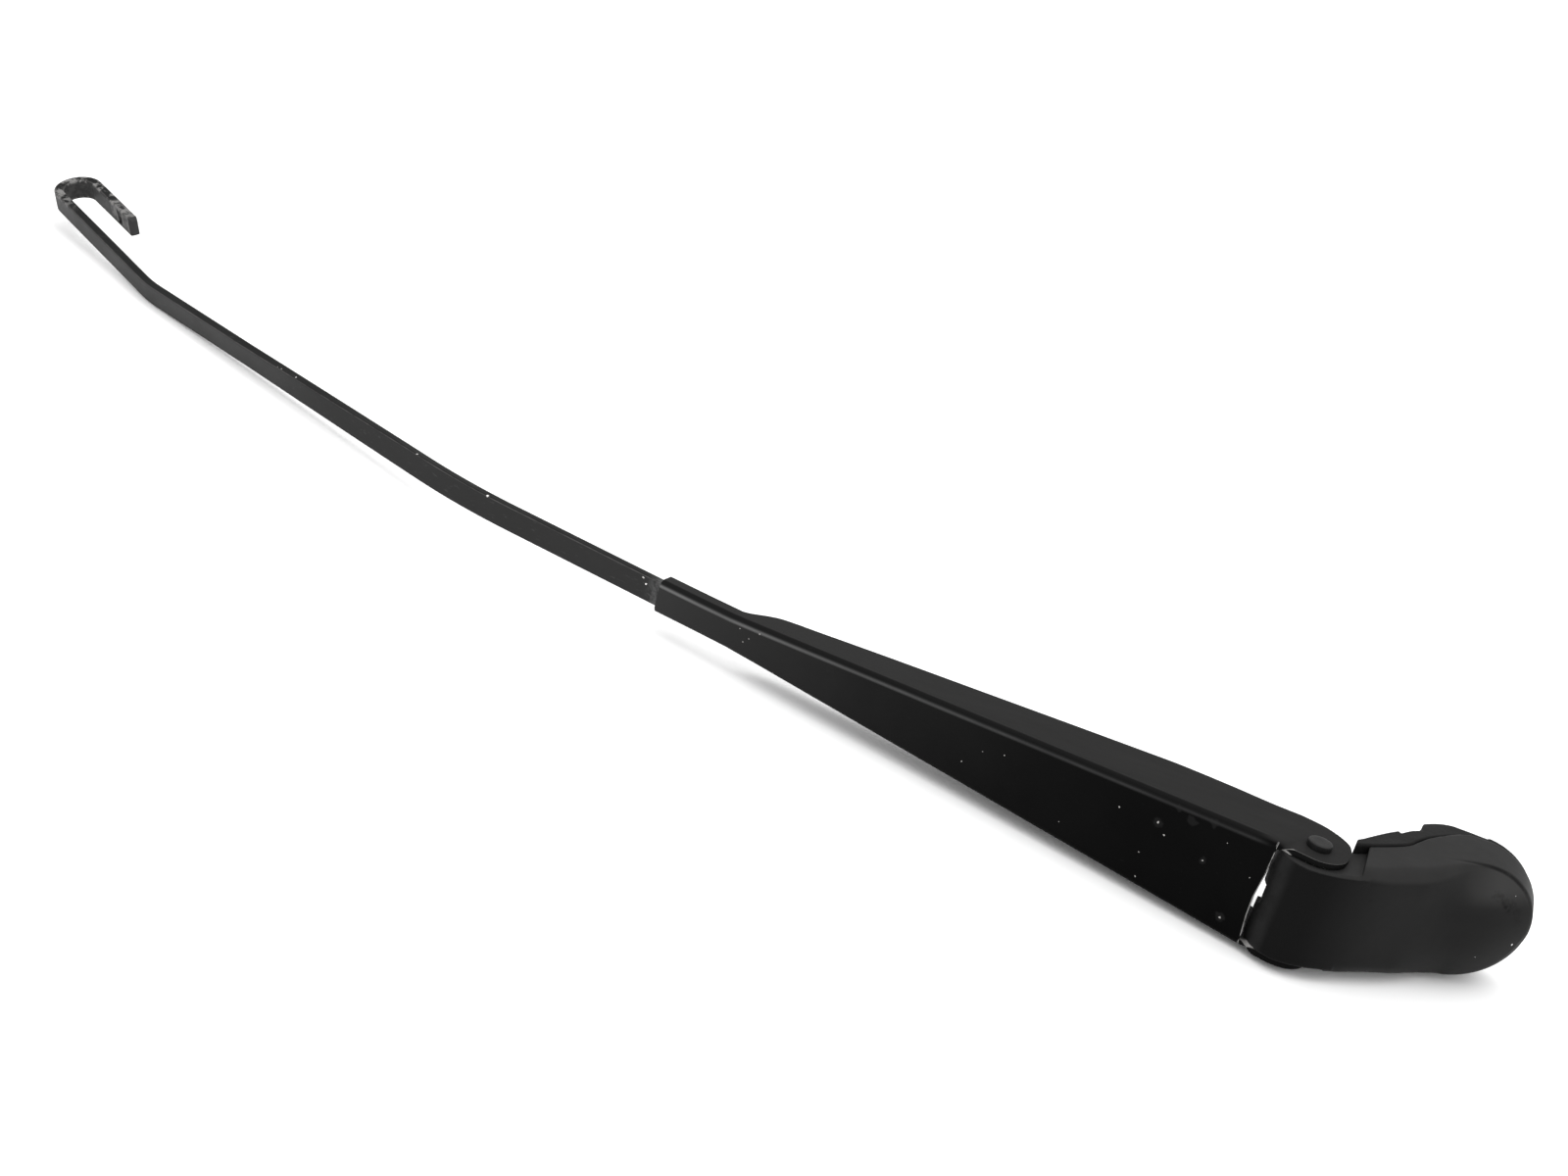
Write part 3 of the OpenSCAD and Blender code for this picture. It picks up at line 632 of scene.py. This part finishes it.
# ------------------------------------------------------------------ materials
class Mat:
    """Small helper that lays out a procedural material."""

    def __init__(self, name, rough=0.5, metal=0.0, spec=0.5):
        self.m = bpy.data.materials.new(name)
        self.m.use_nodes = True
        self.nt = self.m.node_tree
        self.b = self.nt.nodes["Principled BSDF"]
        self.b.inputs["Metallic"].default_value = metal
        self.b.inputs["Roughness"].default_value = rough
        self.b.inputs["Specular IOR Level"].default_value = spec
        self.co = self.n("ShaderNodeTexCoord").outputs["Object"]
        self.geo = None
        self.heights = []

    def n(self, kind):
        return self.nt.nodes.new(kind)

    def put(self, sock, val):
        if isinstance(val, bpy.types.NodeSocket):
            self.nt.links.new(val, sock)
        else:
            sock.default_value = val

    def noise(self, scale, detail=4.0, rough=0.55, distort=0.0, vec=None):
        t = self.n("ShaderNodeTexNoise")
        t.inputs["Scale"].default_value = scale
        t.inputs["Detail"].default_value = detail
        t.inputs["Roughness"].default_value = rough
        t.inputs["Distortion"].default_value = distort
        self.put(t.inputs["Vector"], vec or self.co)
        return t.outputs["Fac"]

    def stretched(self, scale):
        """Coordinates scaled differently along each axis of the arm."""
        mp = self.n("ShaderNodeMapping")
        mp.inputs["Rotation"].default_value = (0, 0, math.radians(10))
        mp.inputs["Scale"].default_value = scale
        self.put(mp.inputs["Vector"], self.co)
        return mp.outputs["Vector"]

    def remap(self, v, a, b, c=0.0, d=1.0, smooth=False):
        r = self.n("ShaderNodeMapRange")
        if smooth:
            r.interpolation_type = "SMOOTHSTEP"
        self.put(r.inputs["Value"], v)
        for k, x in (("From Min", a), ("From Max", b), ("To Min", c), ("To Max", d)):
            r.inputs[k].default_value = x
        return r.outputs["Result"]

    def math(self, op, a, b=0.0, clamp=False):
        x = self.n("ShaderNodeMath")
        x.operation = op
        x.use_clamp = clamp
        self.put(x.inputs[0], a)
        self.put(x.inputs[1], b)
        return x.outputs[0]

    def mix(self, fac, a, b):
        x = self.n("ShaderNodeMix")
        x.data_type = "RGBA"
        self.put(x.inputs["Factor"], fac)
        self.put(x.inputs[6], tuple(a) + (1,) if isinstance(a, tuple) and len(a) == 3 else a)
        self.put(x.inputs[7], tuple(b) + (1,) if isinstance(b, tuple) and len(b) == 3 else b)
        return x.outputs[2]

    def sep(self, vec):
        s = self.n("ShaderNodeSeparateXYZ")
        self.put(s.inputs[0], vec)
        return s.outputs

    def normal_z(self):
        g = self.n("ShaderNodeNewGeometry")
        return self.sep(g.outputs["Normal"])["Z"]

    def attr(self, name):
        a = self.n("ShaderNodeAttribute")
        a.attribute_name = name
        return a.outputs["Fac"]

    def spots(self, pts, wobble=0.0006, scale=1500.0):
        """Small marks at given places: (row-frame x, y, z, radius) in metres."""
        nz = self.n("ShaderNodeTexNoise")
        nz.inputs["Scale"].default_value = scale
        nz.inputs["Detail"].default_value = 2.0
        self.put(nz.inputs["Vector"], self.co)
        off = self.n("ShaderNodeVectorMath")
        off.operation = "MULTIPLY_ADD"
        self.put(off.inputs[0], nz.outputs["Color"])
        off.inputs[1].default_value = (wobble * 2,) * 3
        self.put(off.inputs[2], self.co)
        out = None
        for x, y, z, r in pts:
            d = self.n("ShaderNodeVectorMath")
            d.operation = "DISTANCE"
            self.put(d.inputs[0], off.outputs[0])
            d.inputs[1].default_value = (x + wobble, y + wobble, z + wobble)
            v = self.remap(d.outputs["Value"], r * 1.15, r * 0.75, 0, 1)
            out = v if out is None else self.math("MAXIMUM", out, v)
        return out

    def bump(self, height, strength, dist):
        b = self.n("ShaderNodeBump")
        b.inputs["Strength"].default_value = strength
        b.inputs["Distance"].default_value = dist
        self.put(b.inputs["Height"], height)
        if self.heights:
            self.put(b.inputs["Normal"], self.heights[-1])
        self.heights.append(b.outputs["Normal"])
        self.put(self.b.inputs["Normal"], b.outputs["Normal"])

    def finish(self, colour, rough):
        self.put(self.b.inputs["Base Color"], colour)
        self.put(self.b.inputs["Roughness"], rough)
        return self.m


def g(v, tint=0.0):
    return (v * (1 + tint), v, v * (1 - tint))


def on_cap(rows):
    """Marks given as (x, z, radius), put on the cover's front surface."""
    out = []
    ys = np.linspace(-14, 48, 1241)
    for x, z, r in rows:
        inside = np.nonzero(cap_solid(x + 0 * ys, ys, z + 0 * ys) < 0)[0]
        out.append((x, float(ys[inside[0]]) if len(inside) else 0.0, z, r))
    return out


def arm_spots(rows):
    return [tuple(row_of_arm([r[:3]])[0]) + (r[3] / 1000,) for r in rows]


def head_spots(rows):
    return [tuple(row_of_head([r[:3]])[0]) + (r[3] / 1000,) for r in rows]


def channel_paint():
    m = Mat("channel_black_enamel", spec=0.015)
    xyz = m.sep(m.co)
    # painted shade and reflection along the arm: the paint is lighter towards the sleeve and darker towards the head
    painted_light_to_sleeve = m.math("POWER", m.remap(xyz["X"], -0.285, -0.070, 1.0, 0.0), 2.5)
    cloud = m.noise(28, 5, 0.6)
    fine = m.noise(900, 3, 0.6)
    col = m.mix(painted_light_to_sleeve, g(0.0018), g(0.0262))
    col = m.mix(m.math("MULTIPLY", m.remap(cloud, 0.35, 0.7, 0, 0.35), m.remap(painted_light_to_sleeve, 0.0, 0.5, 0.12, 1.0)), col, g(0.020, 0.02))
    # painted top light with dust streaks: faces turned up are lighter
    up = m.remap(m.normal_z(), 0.55, 0.985, 0, 1, True)
    streak = m.noise(1.0, 4, 0.6, vec=m.stretched((30, 260, 260)))
    toplight_and_dust = m.math("MULTIPLY", up, m.remap(streak, 0.25, 0.75, 0.75, 1.0))
    col = m.mix(m.math("MULTIPLY", toplight_and_dust, 0.92), col, g(0.0200, 0.01))
    # the fold, painted as it catches light: a highlight line at the front face, a dark band of shade, a faint light
    # line at the side wall
    phi = m.attr("phi")
    inner = m.math("MULTIPLY", m.remap(xyz["X"], -0.0680, -0.0610, 1, 0, True), m.remap(xyz["Z"], 0.0005, 0.002, 0, 1))

    def line(at, width):
        d = m.math("DIVIDE", m.math("SUBTRACT", phi, at), width)
        return m.math("EXPONENT", m.math("MULTIPLY", m.math("MULTIPLY", d, d), -1.0))

    # painted shade: dark band across the middle of the fold
    band = m.math("MULTIPLY", m.remap(phi, 0.08, 0.28, 0, 1, True), m.remap(phi, 0.78, 0.64, 0, 1, True))
    col = m.mix(m.math("MULTIPLY", m.math("MULTIPLY", band, inner), 0.85), col, g(0.0055))
    # painted faint light line where the fold meets the side wall
    painted_side_line = m.math("MULTIPLY", m.math("MULTIPLY", line(0.07, 0.04), inner), m.remap(streak, 0.3, 0.6, 0.4, 1.0))
    col = m.mix(m.math("MULTIPLY", painted_side_line, 0.55), col, g(0.030))
    # painted highlight on the fold, stronger towards the sleeve
    painted_fold_highlight = m.math("MULTIPLY", m.math("MULTIPLY", line(0.85, 0.13), inner), m.remap(m.noise(1.0, 3, 0.5, vec=m.stretched((60, 200, 200))), 0.25, 0.6, 0.75, 1.0))
    col = m.mix(painted_fold_highlight, col, m.mix(m.math("POWER", m.remap(xyz["X"], -0.29, -0.08, 1, 0), 1.6), g(0.018), g(0.115)))
    scuff = m.remap(m.noise(1.0, 6, 0.7, vec=m.stretched((60, 700, 700))), 0.66, 0.74, 0, 0.25)
    col = m.mix(m.math("MULTIPLY", scuff, m.remap(painted_light_to_sleeve, 0.0, 0.3, 0.35, 1.0)), col, g(0.05))
    chips = m.spots(arm_spots([
        (-111.7, -9, -4.2, 0.25), (-106, -9, 2.2, 0.20), (-98.8, -9, 4.5, 0.22), (-58.6, -9, 5.9, 0.26), (-45.7, -9, 7.2, 0.34),
        (-42.7, -9, 4.1, 0.26), (-29, -9, 2.2, 0.28), (-48.1, -9, -5, 0.21), (-46.6, -9, -13.1, 0.25), (-18, -9, -12.6, 0.33),
        (-220, -9, 5.1, 0.20), (-220.2, -9, 0.1, 0.16), (-200.7, -9, 3.3, 0.20), (-196.5, -9, 1.2, 0.21), (-193.1, -9, 4.6, 0.26),
        (-198.3, -9, -0.8, 0.25), (-185, -8.6, -6.8, 0.33), (-24, -9, 11, 0.18), (-75, -9, -8, 0.16), (-14, -9, 4, 0.16)]), 0.0004)
    halo = m.spots(arm_spots([(-45.7, -9, 7.2, 1.7), (-29, -9, 2.2, 1.5), (-36, -9, 12.5, 1.6), (-30, -9, 15.0, 1.4),
                               (-41, -9, 14.5, 1.1), (-18, -9, -12.6, 1.6)]), 0.0016, 500)
    col = m.mix(m.math("MULTIPLY", halo, 0.35), col, g(0.016))
    col = m.mix(chips, col, g(0.30, 0.03))
    # bare cut edge of the sheet: bright worn paint at the outer corner, painted shade on the cut face of the ears
    bare_ = m.attr("bare")
    nz = m.math("ABSOLUTE", m.normal_z())
    edge = m.math("MULTIPLY", m.math("MULTIPLY", m.remap(bare_, 0.80, 0.92, 0, 1), m.remap(xyz["X"], -0.0600, -0.0605, 0, 1)), m.remap(m.noise(260, 3, 0.6), 0.34, 0.46, 0.3, 1.0))
    ear = m.math("MULTIPLY", m.remap(bare_, 0.30, 0.45, 0, 1), m.remap(bare_, 0.66, 0.76, 1, 0))
    corner = m.math("MULTIPLY", m.remap(nz, 0.30, 0.42, 0, 1), m.remap(nz, 0.995, 0.95, 0, 1))
    # painted shade on the cut face of the ears
    col = m.mix(m.math("MULTIPLY", ear, m.remap(nz, 0.45, 0.25, 0, 0.9)), col, g(0.004))
    col = m.mix(m.math("MULTIPLY", m.math("MULTIPLY", ear, corner), m.remap(xyz["X"], -0.0600, -0.0560, 0.25, 0.85)), col, g(0.30, 0.02))
    col = m.mix(edge, col, g(0.30, 0.02))
    rough = m.remap(cloud, 0.3, 0.75, 0.32, 0.44)
    rough = m.math("ADD", rough, m.math("MULTIPLY", toplight_and_dust, 0.22))
    m.bump(m.noise(420, 3, 0.5), 0.12, 0.0002)
    m.bump(fine, 0.10, 0.00005)
    return m.finish(col, rough)


def bar_paint():
    m = Mat("bar_black_paint", spec=0.05)
    along = m.attr("along")
    edge = m.attr("edge")
    # painted light: the bar is lighter past its twist, where its front face turns towards the light
    painted_twist_light = m.mix(m.remap(along, 0.23, 0.33, 0, 1, True), g(0.0190), g(0.0400))
    cloud = m.noise(45, 5, 0.6)
    col = m.mix(m.remap(cloud, 0.3, 0.75, 0, 0.3), painted_twist_light, g(0.026, 0.02))
    # painted shade: the bar's upward faces are darker
    up = m.remap(m.normal_z(), 0.5, 0.92, 0, 1, True)
    col = m.mix(m.math("MULTIPLY", up, 0.9), col, g(0.0035))
    fibre = m.noise(1.0, 5, 0.7, vec=m.stretched((90, 900, 900)))
    col = m.mix(m.remap(fibre, 0.60, 0.72, 0, 0.35), col, g(0.085))
    # rubbed corners, lightened only on the upper ridge: worn paint with a painted highlight
    ridge = m.math("MULTIPLY", m.remap(m.normal_z(), 0.35, 0.6, 0, 1), m.remap(m.normal_z(), 0.95, 0.8, 0, 1))
    rub_and_highlight = m.math("MULTIPLY", m.math("MULTIPLY", m.remap(edge, 0.8, 1.0, 0, 1), ridge), m.remap(m.noise(120, 5, 0.7), 0.38, 0.62, 0.25, 0.9))
    col = m.mix(m.math("MULTIPLY", rub_and_highlight, 0.8), col, g(0.075, 0.02))
    # the hook: paint worn through on the crown, the edges and the tip
    hook = m.remap(along, 0.443, 0.463, 0, 1, True)
    patch = m.remap(m.noise(210, 6, 0.68, 0.3), 0.49, 0.57, 0, 1)
    crown = m.math("MAXIMUM", m.remap(edge, 0.1, 0.9, 0.12, 1.0), m.math("MULTIPLY", m.remap(m.normal_z(), 0.4, 0.8, 0, 1), 0.95))
    worn = m.math("MULTIPLY", m.math("MULTIPLY", patch, hook), crown)
    tip = m.remap(along, 0.5070, 0.5105, 0, 1, True)
    tipw = m.math("MULTIPLY", tip, m.remap(m.noise(380, 5, 0.65), 0.42, 0.56, 0.08, 0.7))
    worn = m.math("MAXIMUM", worn, tipw)
    end = m.remap(along, 0.5262, 0.5267, 1, 0)
    worn = m.math("MULTIPLY", worn, end)
    col = m.mix(m.math("MULTIPLY", worn, 0.85), col, g(0.20, 0.02))
    col = m.mix(m.math("SUBTRACT", 1.0, end), col, g(0.035))
    # painted shade in the stamped notch of the return leg
    notch = m.math("MULTIPLY", m.math("MULTIPLY", m.remap(along, 0.5152, 0.5157, 0, 1), m.remap(along, 0.5186, 0.5181, 0, 1)), m.remap(edge, 0.35, 0.1, 0, 1))
    col = m.mix(m.math("MULTIPLY", notch, 0.85), col, g(0.010))
    # scuffed mouth of the sleeve
    mouth = m.math("MULTIPLY", m.remap(along, 0.0735, 0.0805, 1, 0, True), m.remap(m.noise(330, 5, 0.7), 0.4, 0.55, 0.1, 0.8))
    mouth = m.math("MULTIPLY", mouth, m.remap(along, 0.0733, 0.0740, 0, 1))
    col = m.mix(mouth, col, g(0.085))
    # painted shade where the bar goes into the sleeve
    col = m.mix(m.remap(along, 0.0734, 0.0728, 0, 0.9), col, g(0.003))
    chips = m.spots(arm_spots([(-481.5, 24.8, 5.2, 0.42), (-478.5, 24.2, 5.0, 0.4), (-438.5, 15.9, 4.5, 0.5), (-436, 15.6, 4.5, 0.45), (-433, 15.2, 4.5, 0.34),
                               (-427, 14.3, 4.5, 0.4), (-314, -5.4, 4.4, 0.5), (-242.6, -7.3, 3.3, 0.4), (-241, -7.3, 1.6, 0.35), (-520, 33, 5.4, 0.4),
                               (-503, 29, 5.3, 0.35), (-352, -0.2, 4.4, 0.35), (-381, 4.4, 4.4, 0.35), (-566, 46, 7, 0.35)]), 0.0005)
    col = m.mix(chips, col, g(0.72, 0.02))
    rough = m.remap(cloud, 0.3, 0.75, 0.42, 0.55)
    rough = m.math("SUBTRACT", rough, m.math("MULTIPLY", worn, 0.08))
    m.bump(m.noise(700, 4, 0.6), 0.18, 0.00012)
    m.bump(m.math("MULTIPLY", m.math("MAXIMUM", worn, chips), -1.0), 0.35, 0.0001)
    return m.finish(col, rough)


def cap_plastic():
    m = Mat("cover_black_plastic", spec=0.06)
    cloud = m.noise(60, 5, 0.6)
    grain = m.noise(2600, 2, 0.5)
    up = m.remap(m.normal_z(), 0.10, 0.55, 0, 1, True)
    col = m.mix(m.remap(cloud, 0.3, 0.75), g(0.0058), g(0.0085, 0.01))
    # painted top light with patchy dust: faces turned up are lighter
    toplight_dust_noise = m.remap(m.noise(140, 5, 0.65), 0.2, 0.8, 0.7, 1.0)
    col = m.mix(m.math("MULTIPLY", m.math("MULTIPLY", up, toplight_dust_noise), 0.9), col, g(0.0215, 0.01))
    xyz = m.sep(m.co)
    # painted highlight on the upward-turned shoulder of the round end
    nzc = m.normal_z()
    roll = m.math("MULTIPLY", m.math("MULTIPLY", m.remap(nzc, 0.22, 0.42, 0, 1, True), m.remap(nzc, 0.80, 0.62, 0, 1, True)), m.remap(xyz["X"], -0.006, 0.008, 0, 1, True))
    col = m.mix(m.math("MULTIPLY", roll, 0.7), col, g(0.036, 0.01))
    # painted shade: the front-facing face over the tongue is darker
    painted_tongue_shade = m.math("MULTIPLY", m.remap(xyz["X"], -0.024, -0.045, 0, 1, True), m.remap(m.normal_z(), 0.5, 0.2, 0, 1))
    col = m.mix(m.math("MULTIPLY", painted_tongue_shade, 0.85), col, g(0.0009))
    # rubbed band on the tongue beside the channel
    band = m.math("MULTIPLY", m.remap(xyz["X"], -0.0530, -0.0560, 0, 1, True), m.remap(m.noise(160, 4, 0.6), 0.3, 0.6, 0.5, 1))
    col = m.mix(m.math("MULTIPLY", band, 0.6), col, g(0.014))
    # dirt in the crease round the cover's end
    plane = m.math("ABSOLUTE", m.math("SUBTRACT", m.math("SUBTRACT", xyz["Y"], m.math("MULTIPLY", xyz["X"], 0.4228)), -0.0037 + 0.0004))
    ring = m.remap(m.math("SQRT", m.math("ADD", m.math("POWER", m.math("ABSOLUTE", xyz["X"]), 2.0), m.math("POWER", m.math("ABSOLUTE", xyz["Z"]), 2.0))), 0.0192, 0.0200)
    seam = m.math("MULTIPLY", m.math("MULTIPLY", m.remap(plane, 0.00075, 0.00025, 0, 1), ring), m.remap(xyz["X"], -0.014, 0.004, 0, 1, True))
    seam = m.math("MULTIPLY", seam, m.remap(m.noise(300, 4, 0.7), 0.3, 0.55, 0.45, 1.0))
    # dirt along the shoulder of the round end
    stain = m.spots(head_spots(on_cap([(55.5, 13.4, 2.0), (58.5, 12.0, 2.4), (61.5, 9.8, 2.6), (63.8, 7.2, 2.6), (65.2, 4.0, 2.2), (65.9, 0.8, 1.6)])), 0.0034, 210)
    blot = m.remap(m.noise(330, 7, 0.8, 0.6), 0.44, 0.66, 0.0, 1)
    col = m.mix(m.math("MULTIPLY", m.math("MULTIPLY", stain, blot), 0.7), col, g(0.0035))
    col = m.mix(m.math("MULTIPLY", seam, 0.85), col, g(0.003))
    edge_mark = m.spots(head_spots(on_cap([(12.4, 12.2, 0.5), (12.3, 11.2, 0.5), (12.9, 10.6, 0.4), (19.3, 9.7, 0.4), (59.4, 9.6, 0.6), (60.6, 8.6, 0.45)])), 0.0006)
    col = m.mix(m.math("MULTIPLY", edge_mark, 0.8), col, g(0.003))
    speck = m.spots(head_spots(on_cap([(66.3, -3.7, 0.36), (57, -9, 0.14), (61, 13.2, 0.14)])), 0.0003)
    col = m.mix(speck, col, g(0.6))
    scr = m.remap(m.noise(1.0, 6, 0.75, vec=m.stretched((80, 80, 900))), 0.68, 0.74, 0, 0.25)
    col = m.mix(scr, col, g(0.025))
    rough = m.remap(cloud, 0.3, 0.75, 0.46, 0.56)
    rough = m.math("ADD", rough, m.math("MULTIPLY", up, 0.08))
    m.bump(grain, 0.10, 0.00006)
    m.bump(m.noise(230, 4, 0.55), 0.16, 0.00025)
    return m.finish(col, rough)


def cast_black():
    m = Mat("head_cast_black", spec=0.06)
    cloud = m.noise(90, 5, 0.65)
    up = m.remap(m.normal_z(), 0.2, 0.95, 0, 1, True)
    col = m.mix(m.remap(cloud, 0.3, 0.7), g(0.006), g(0.012, 0.015))
    col = m.mix(m.math("MULTIPLY", up, 0.6), col, g(0.009, 0.01))
    bare = m.remap(m.noise(420, 6, 0.72, 0.3), 0.70, 0.75, 0, 0.5)
    col = m.mix(bare, col, g(0.06, 0.02))
    # machined seat and bore
    xyz = m.sep(m.co)
    rr = m.math("SQRT", m.math("ADD", m.math("POWER", m.math("ABSOLUTE", xyz["X"]), 2.0), m.math("POWER", m.math("ABSOLUTE", xyz["Z"]), 2.0)))
    seat = m.math("MULTIPLY", m.remap(rr, 0.0114, 0.0108, 0, 1), m.remap(xyz["Y"], -0.0012, -0.0005, 0, 1))
    col = m.mix(m.math("MULTIPLY", seat, 0.8), col, g(0.16, 0.01))
    rough = m.remap(cloud, 0.3, 0.7, 0.5, 0.66)
    rough = m.math("SUBTRACT", rough, m.math("MULTIPLY", seat, 0.2))
    m.bump(m.noise(900, 4, 0.6), 0.30, 0.0002)
    m.bump(m.noise(120, 3, 0.5), 0.2, 0.0004)
    return m.finish(col, rough)


def pin_paint():
    m = Mat("pin_black_paint", spec=0.06)
    # painted light and shade: the pin head's upward face is lightened, its sides stay dark
    up = m.remap(m.normal_z(), 0.6, 0.98, 0, 1, True)
    cloud = m.noise(300, 5, 0.65)
    col = m.mix(m.remap(cloud, 0.3, 0.7), g(0.004), g(0.008))
    col = m.mix(m.math("MULTIPLY", up, m.remap(m.noise(500, 5, 0.7), 0.3, 0.6, 0.75, 1.0)), col, g(0.021, 0.01))
    rough = m.remap(cloud, 0.3, 0.7, 0.4, 0.55)
    m.bump(m.noise(1500, 4, 0.6), 0.25, 0.0001)
    return m.finish(col, rough)


def steel(name, val, rough, grain=1200, rust=0.35, metal=1.0, tint=0.02):
    m = Mat(name, metal=metal, spec=0.5)
    cloud = m.noise(180, 5, 0.65)
    col = m.mix(m.remap(cloud, 0.3, 0.7), g(val * 0.8, tint), g(val, tint))
    spots_ = m.remap(m.noise(420, 6, 0.75), 0.60, 0.70, 0, rust)
    col = m.mix(spots_, col, (0.10, 0.06, 0.035))
    r = m.remap(cloud, 0.3, 0.7, rough - 0.06, rough + 0.08)
    r = m.math("ADD", r, m.math("MULTIPLY", spots_, 0.5))
    m.bump(m.noise(grain, 4, 0.6), 0.2, 0.0001)
    return m.finish(col, r)


def bronze():
    m = Mat("bush_sintered_bronze", metal=1.0)
    cloud = m.noise(300, 5, 0.65)
    col = m.mix(m.remap(cloud, 0.3, 0.7), (0.30, 0.19, 0.09), (0.42, 0.28, 0.14))
    pores = m.remap(m.noise(2600, 3, 0.6), 0.60, 0.70, 0, 0.6)
    col = m.mix(pores, col, (0.06, 0.04, 0.02))
    m.bump(m.noise(2600, 3, 0.6), 0.25, 0.0001)
    return m.finish(col, m.remap(cloud, 0.3, 0.7, 0.36, 0.5))


def dress(o, mat):
    o.data.materials.clear()
    o.data.materials.append(mat)


dress(cap, cap_plastic())
dress(head_shell, cast_black())
dress(chan, channel_paint())
dress(bar, bar_paint())
dress(pin, pin_paint())
dress(cross, steel("cross_pin_steel", 0.42, 0.34))
for b in bushes:
    dress(b, bronze())
dress(link, steel("link_zinc_steel", 0.38, 0.42))
sm = steel("spring_dull_steel", 0.26, 0.42, rust=0.45)
dress(coil, sm)
dress(front_eye, sm)

# ------------------------------------------------------------------ floor, light, camera
fl_me = bpy.data.meshes.new("floor")
# the arm lies with the lower pin head and the bar's set on the table, so the table leans 1.8 degrees in the part's frame
K = 0.0315


def floor_z(x):
    return -0.02115 - K * (x + 0.049)


ext = 5.0
nfl = 40
fv, ff = [], []
for i in range(nfl + 1):
    for j in range(nfl + 1):
        x, y = -ext + 2 * ext * i / nfl, -ext + 2 * ext * j / nfl
        fv.append((x, y, floor_z(x)))
for i in range(nfl):
    for j in range(nfl):
        a = i * (nfl + 1) + j
        ff.append((a, a + nfl + 1, a + nfl + 2, a + 1))
fl_me.from_pydata(fv, [], ff)
floor = bpy.data.objects.new("studio_floor", fl_me)
bpy.context.scene.collection.objects.link(floor)
fm = Mat("floor_white", rough=0.9, spec=0.0)
dress(floor, fm.finish(fm.mix(fm.remap(fm.noise(3, 2, 0.5), 0.3, 0.7), g(0.955), g(0.97)), 0.9))

world = bpy.data.worlds.new("studio")
bpy.context.scene.world = world
world.use_nodes = True
wn = world.node_tree
bg = wn.nodes["Background"]
tc = wn.nodes.new("ShaderNodeTexCoord")
sx = wn.nodes.new("ShaderNodeSeparateXYZ")
wn.links.new(tc.outputs["Generated"], sx.inputs[0])
mr = wn.nodes.new("ShaderNodeMapRange")
mr.interpolation_type = "SMOOTHSTEP"
mr.inputs["From Min"].default_value = 0.12
mr.inputs["From Max"].default_value = 0.62
mr.inputs["To Min"].default_value = 1.22
mr.inputs["To Max"].default_value = 1.12
wn.links.new(sx.outputs["Z"], mr.inputs["Value"])
wn.links.new(mr.outputs["Result"], bg.inputs["Strength"])
bg.inputs["Color"].default_value = (1, 1, 1, 1)


def area(name, loc, target, size, size_y, power):
    l = bpy.data.lights.new(name, "AREA")
    l.shape = "RECTANGLE"
    l.size, l.size_y = size, size_y
    l.energy = power
    o = bpy.data.objects.new(name, l)
    bpy.context.scene.collection.objects.link(o)
    z = np.array(loc, float) - np.array(target, float)
    z /= np.linalg.norm(z)
    x = np.cross([0, 0, 1.0], z)
    x = x / np.linalg.norm(x) if np.linalg.norm(x) > 1e-6 else np.array([1.0, 0, 0])
    y = np.cross(z, x)
    o.matrix_world = Matrix([[x[0], y[0], z[0], loc[0]], [x[1], y[1], z[1], loc[1]], [x[2], y[2], z[2], loc[2]], [0, 0, 0, 1]])
    return o


top = area("softbox_top", (-0.30, -0.25, 2.2), (-0.30, -0.05, 0), 3.4, 3.0, 38)
top.visible_glossy = False
low = area("softbox_front_low", (-0.75, -1.7, 0.10), (-0.28, 0, 0.0), 2.4, 0.30, 8)

cam = bpy.data.cameras.new("camera")
cam.sensor_width = 36
cam.lens = 46.0863
cam.clip_start = 0.01
cam.dof.use_dof = False
co = bpy.data.objects.new("camera", cam)
bpy.context.scene.collection.objects.link(co)
right = np.array([0.9046441, 0.347317, 0.2469614])
up = np.array([-0.3534773, 0.2878012, 0.8900698])
back = np.array([0.2380606, -0.8924917, 0.3831263])
pos = (-0.07822266, -0.60285017, 0.27876152)
co.matrix_world = Matrix([[right[i], up[i], back[i], pos[i]] for i in range(3)] + [[0, 0, 0, 1]])
bpy.context.scene.camera = co

vs = bpy.context.scene.view_settings
vs.view_transform = "Standard"
vs.look = "None"
vs.exposure = 0.0
vs.gamma = 1.0
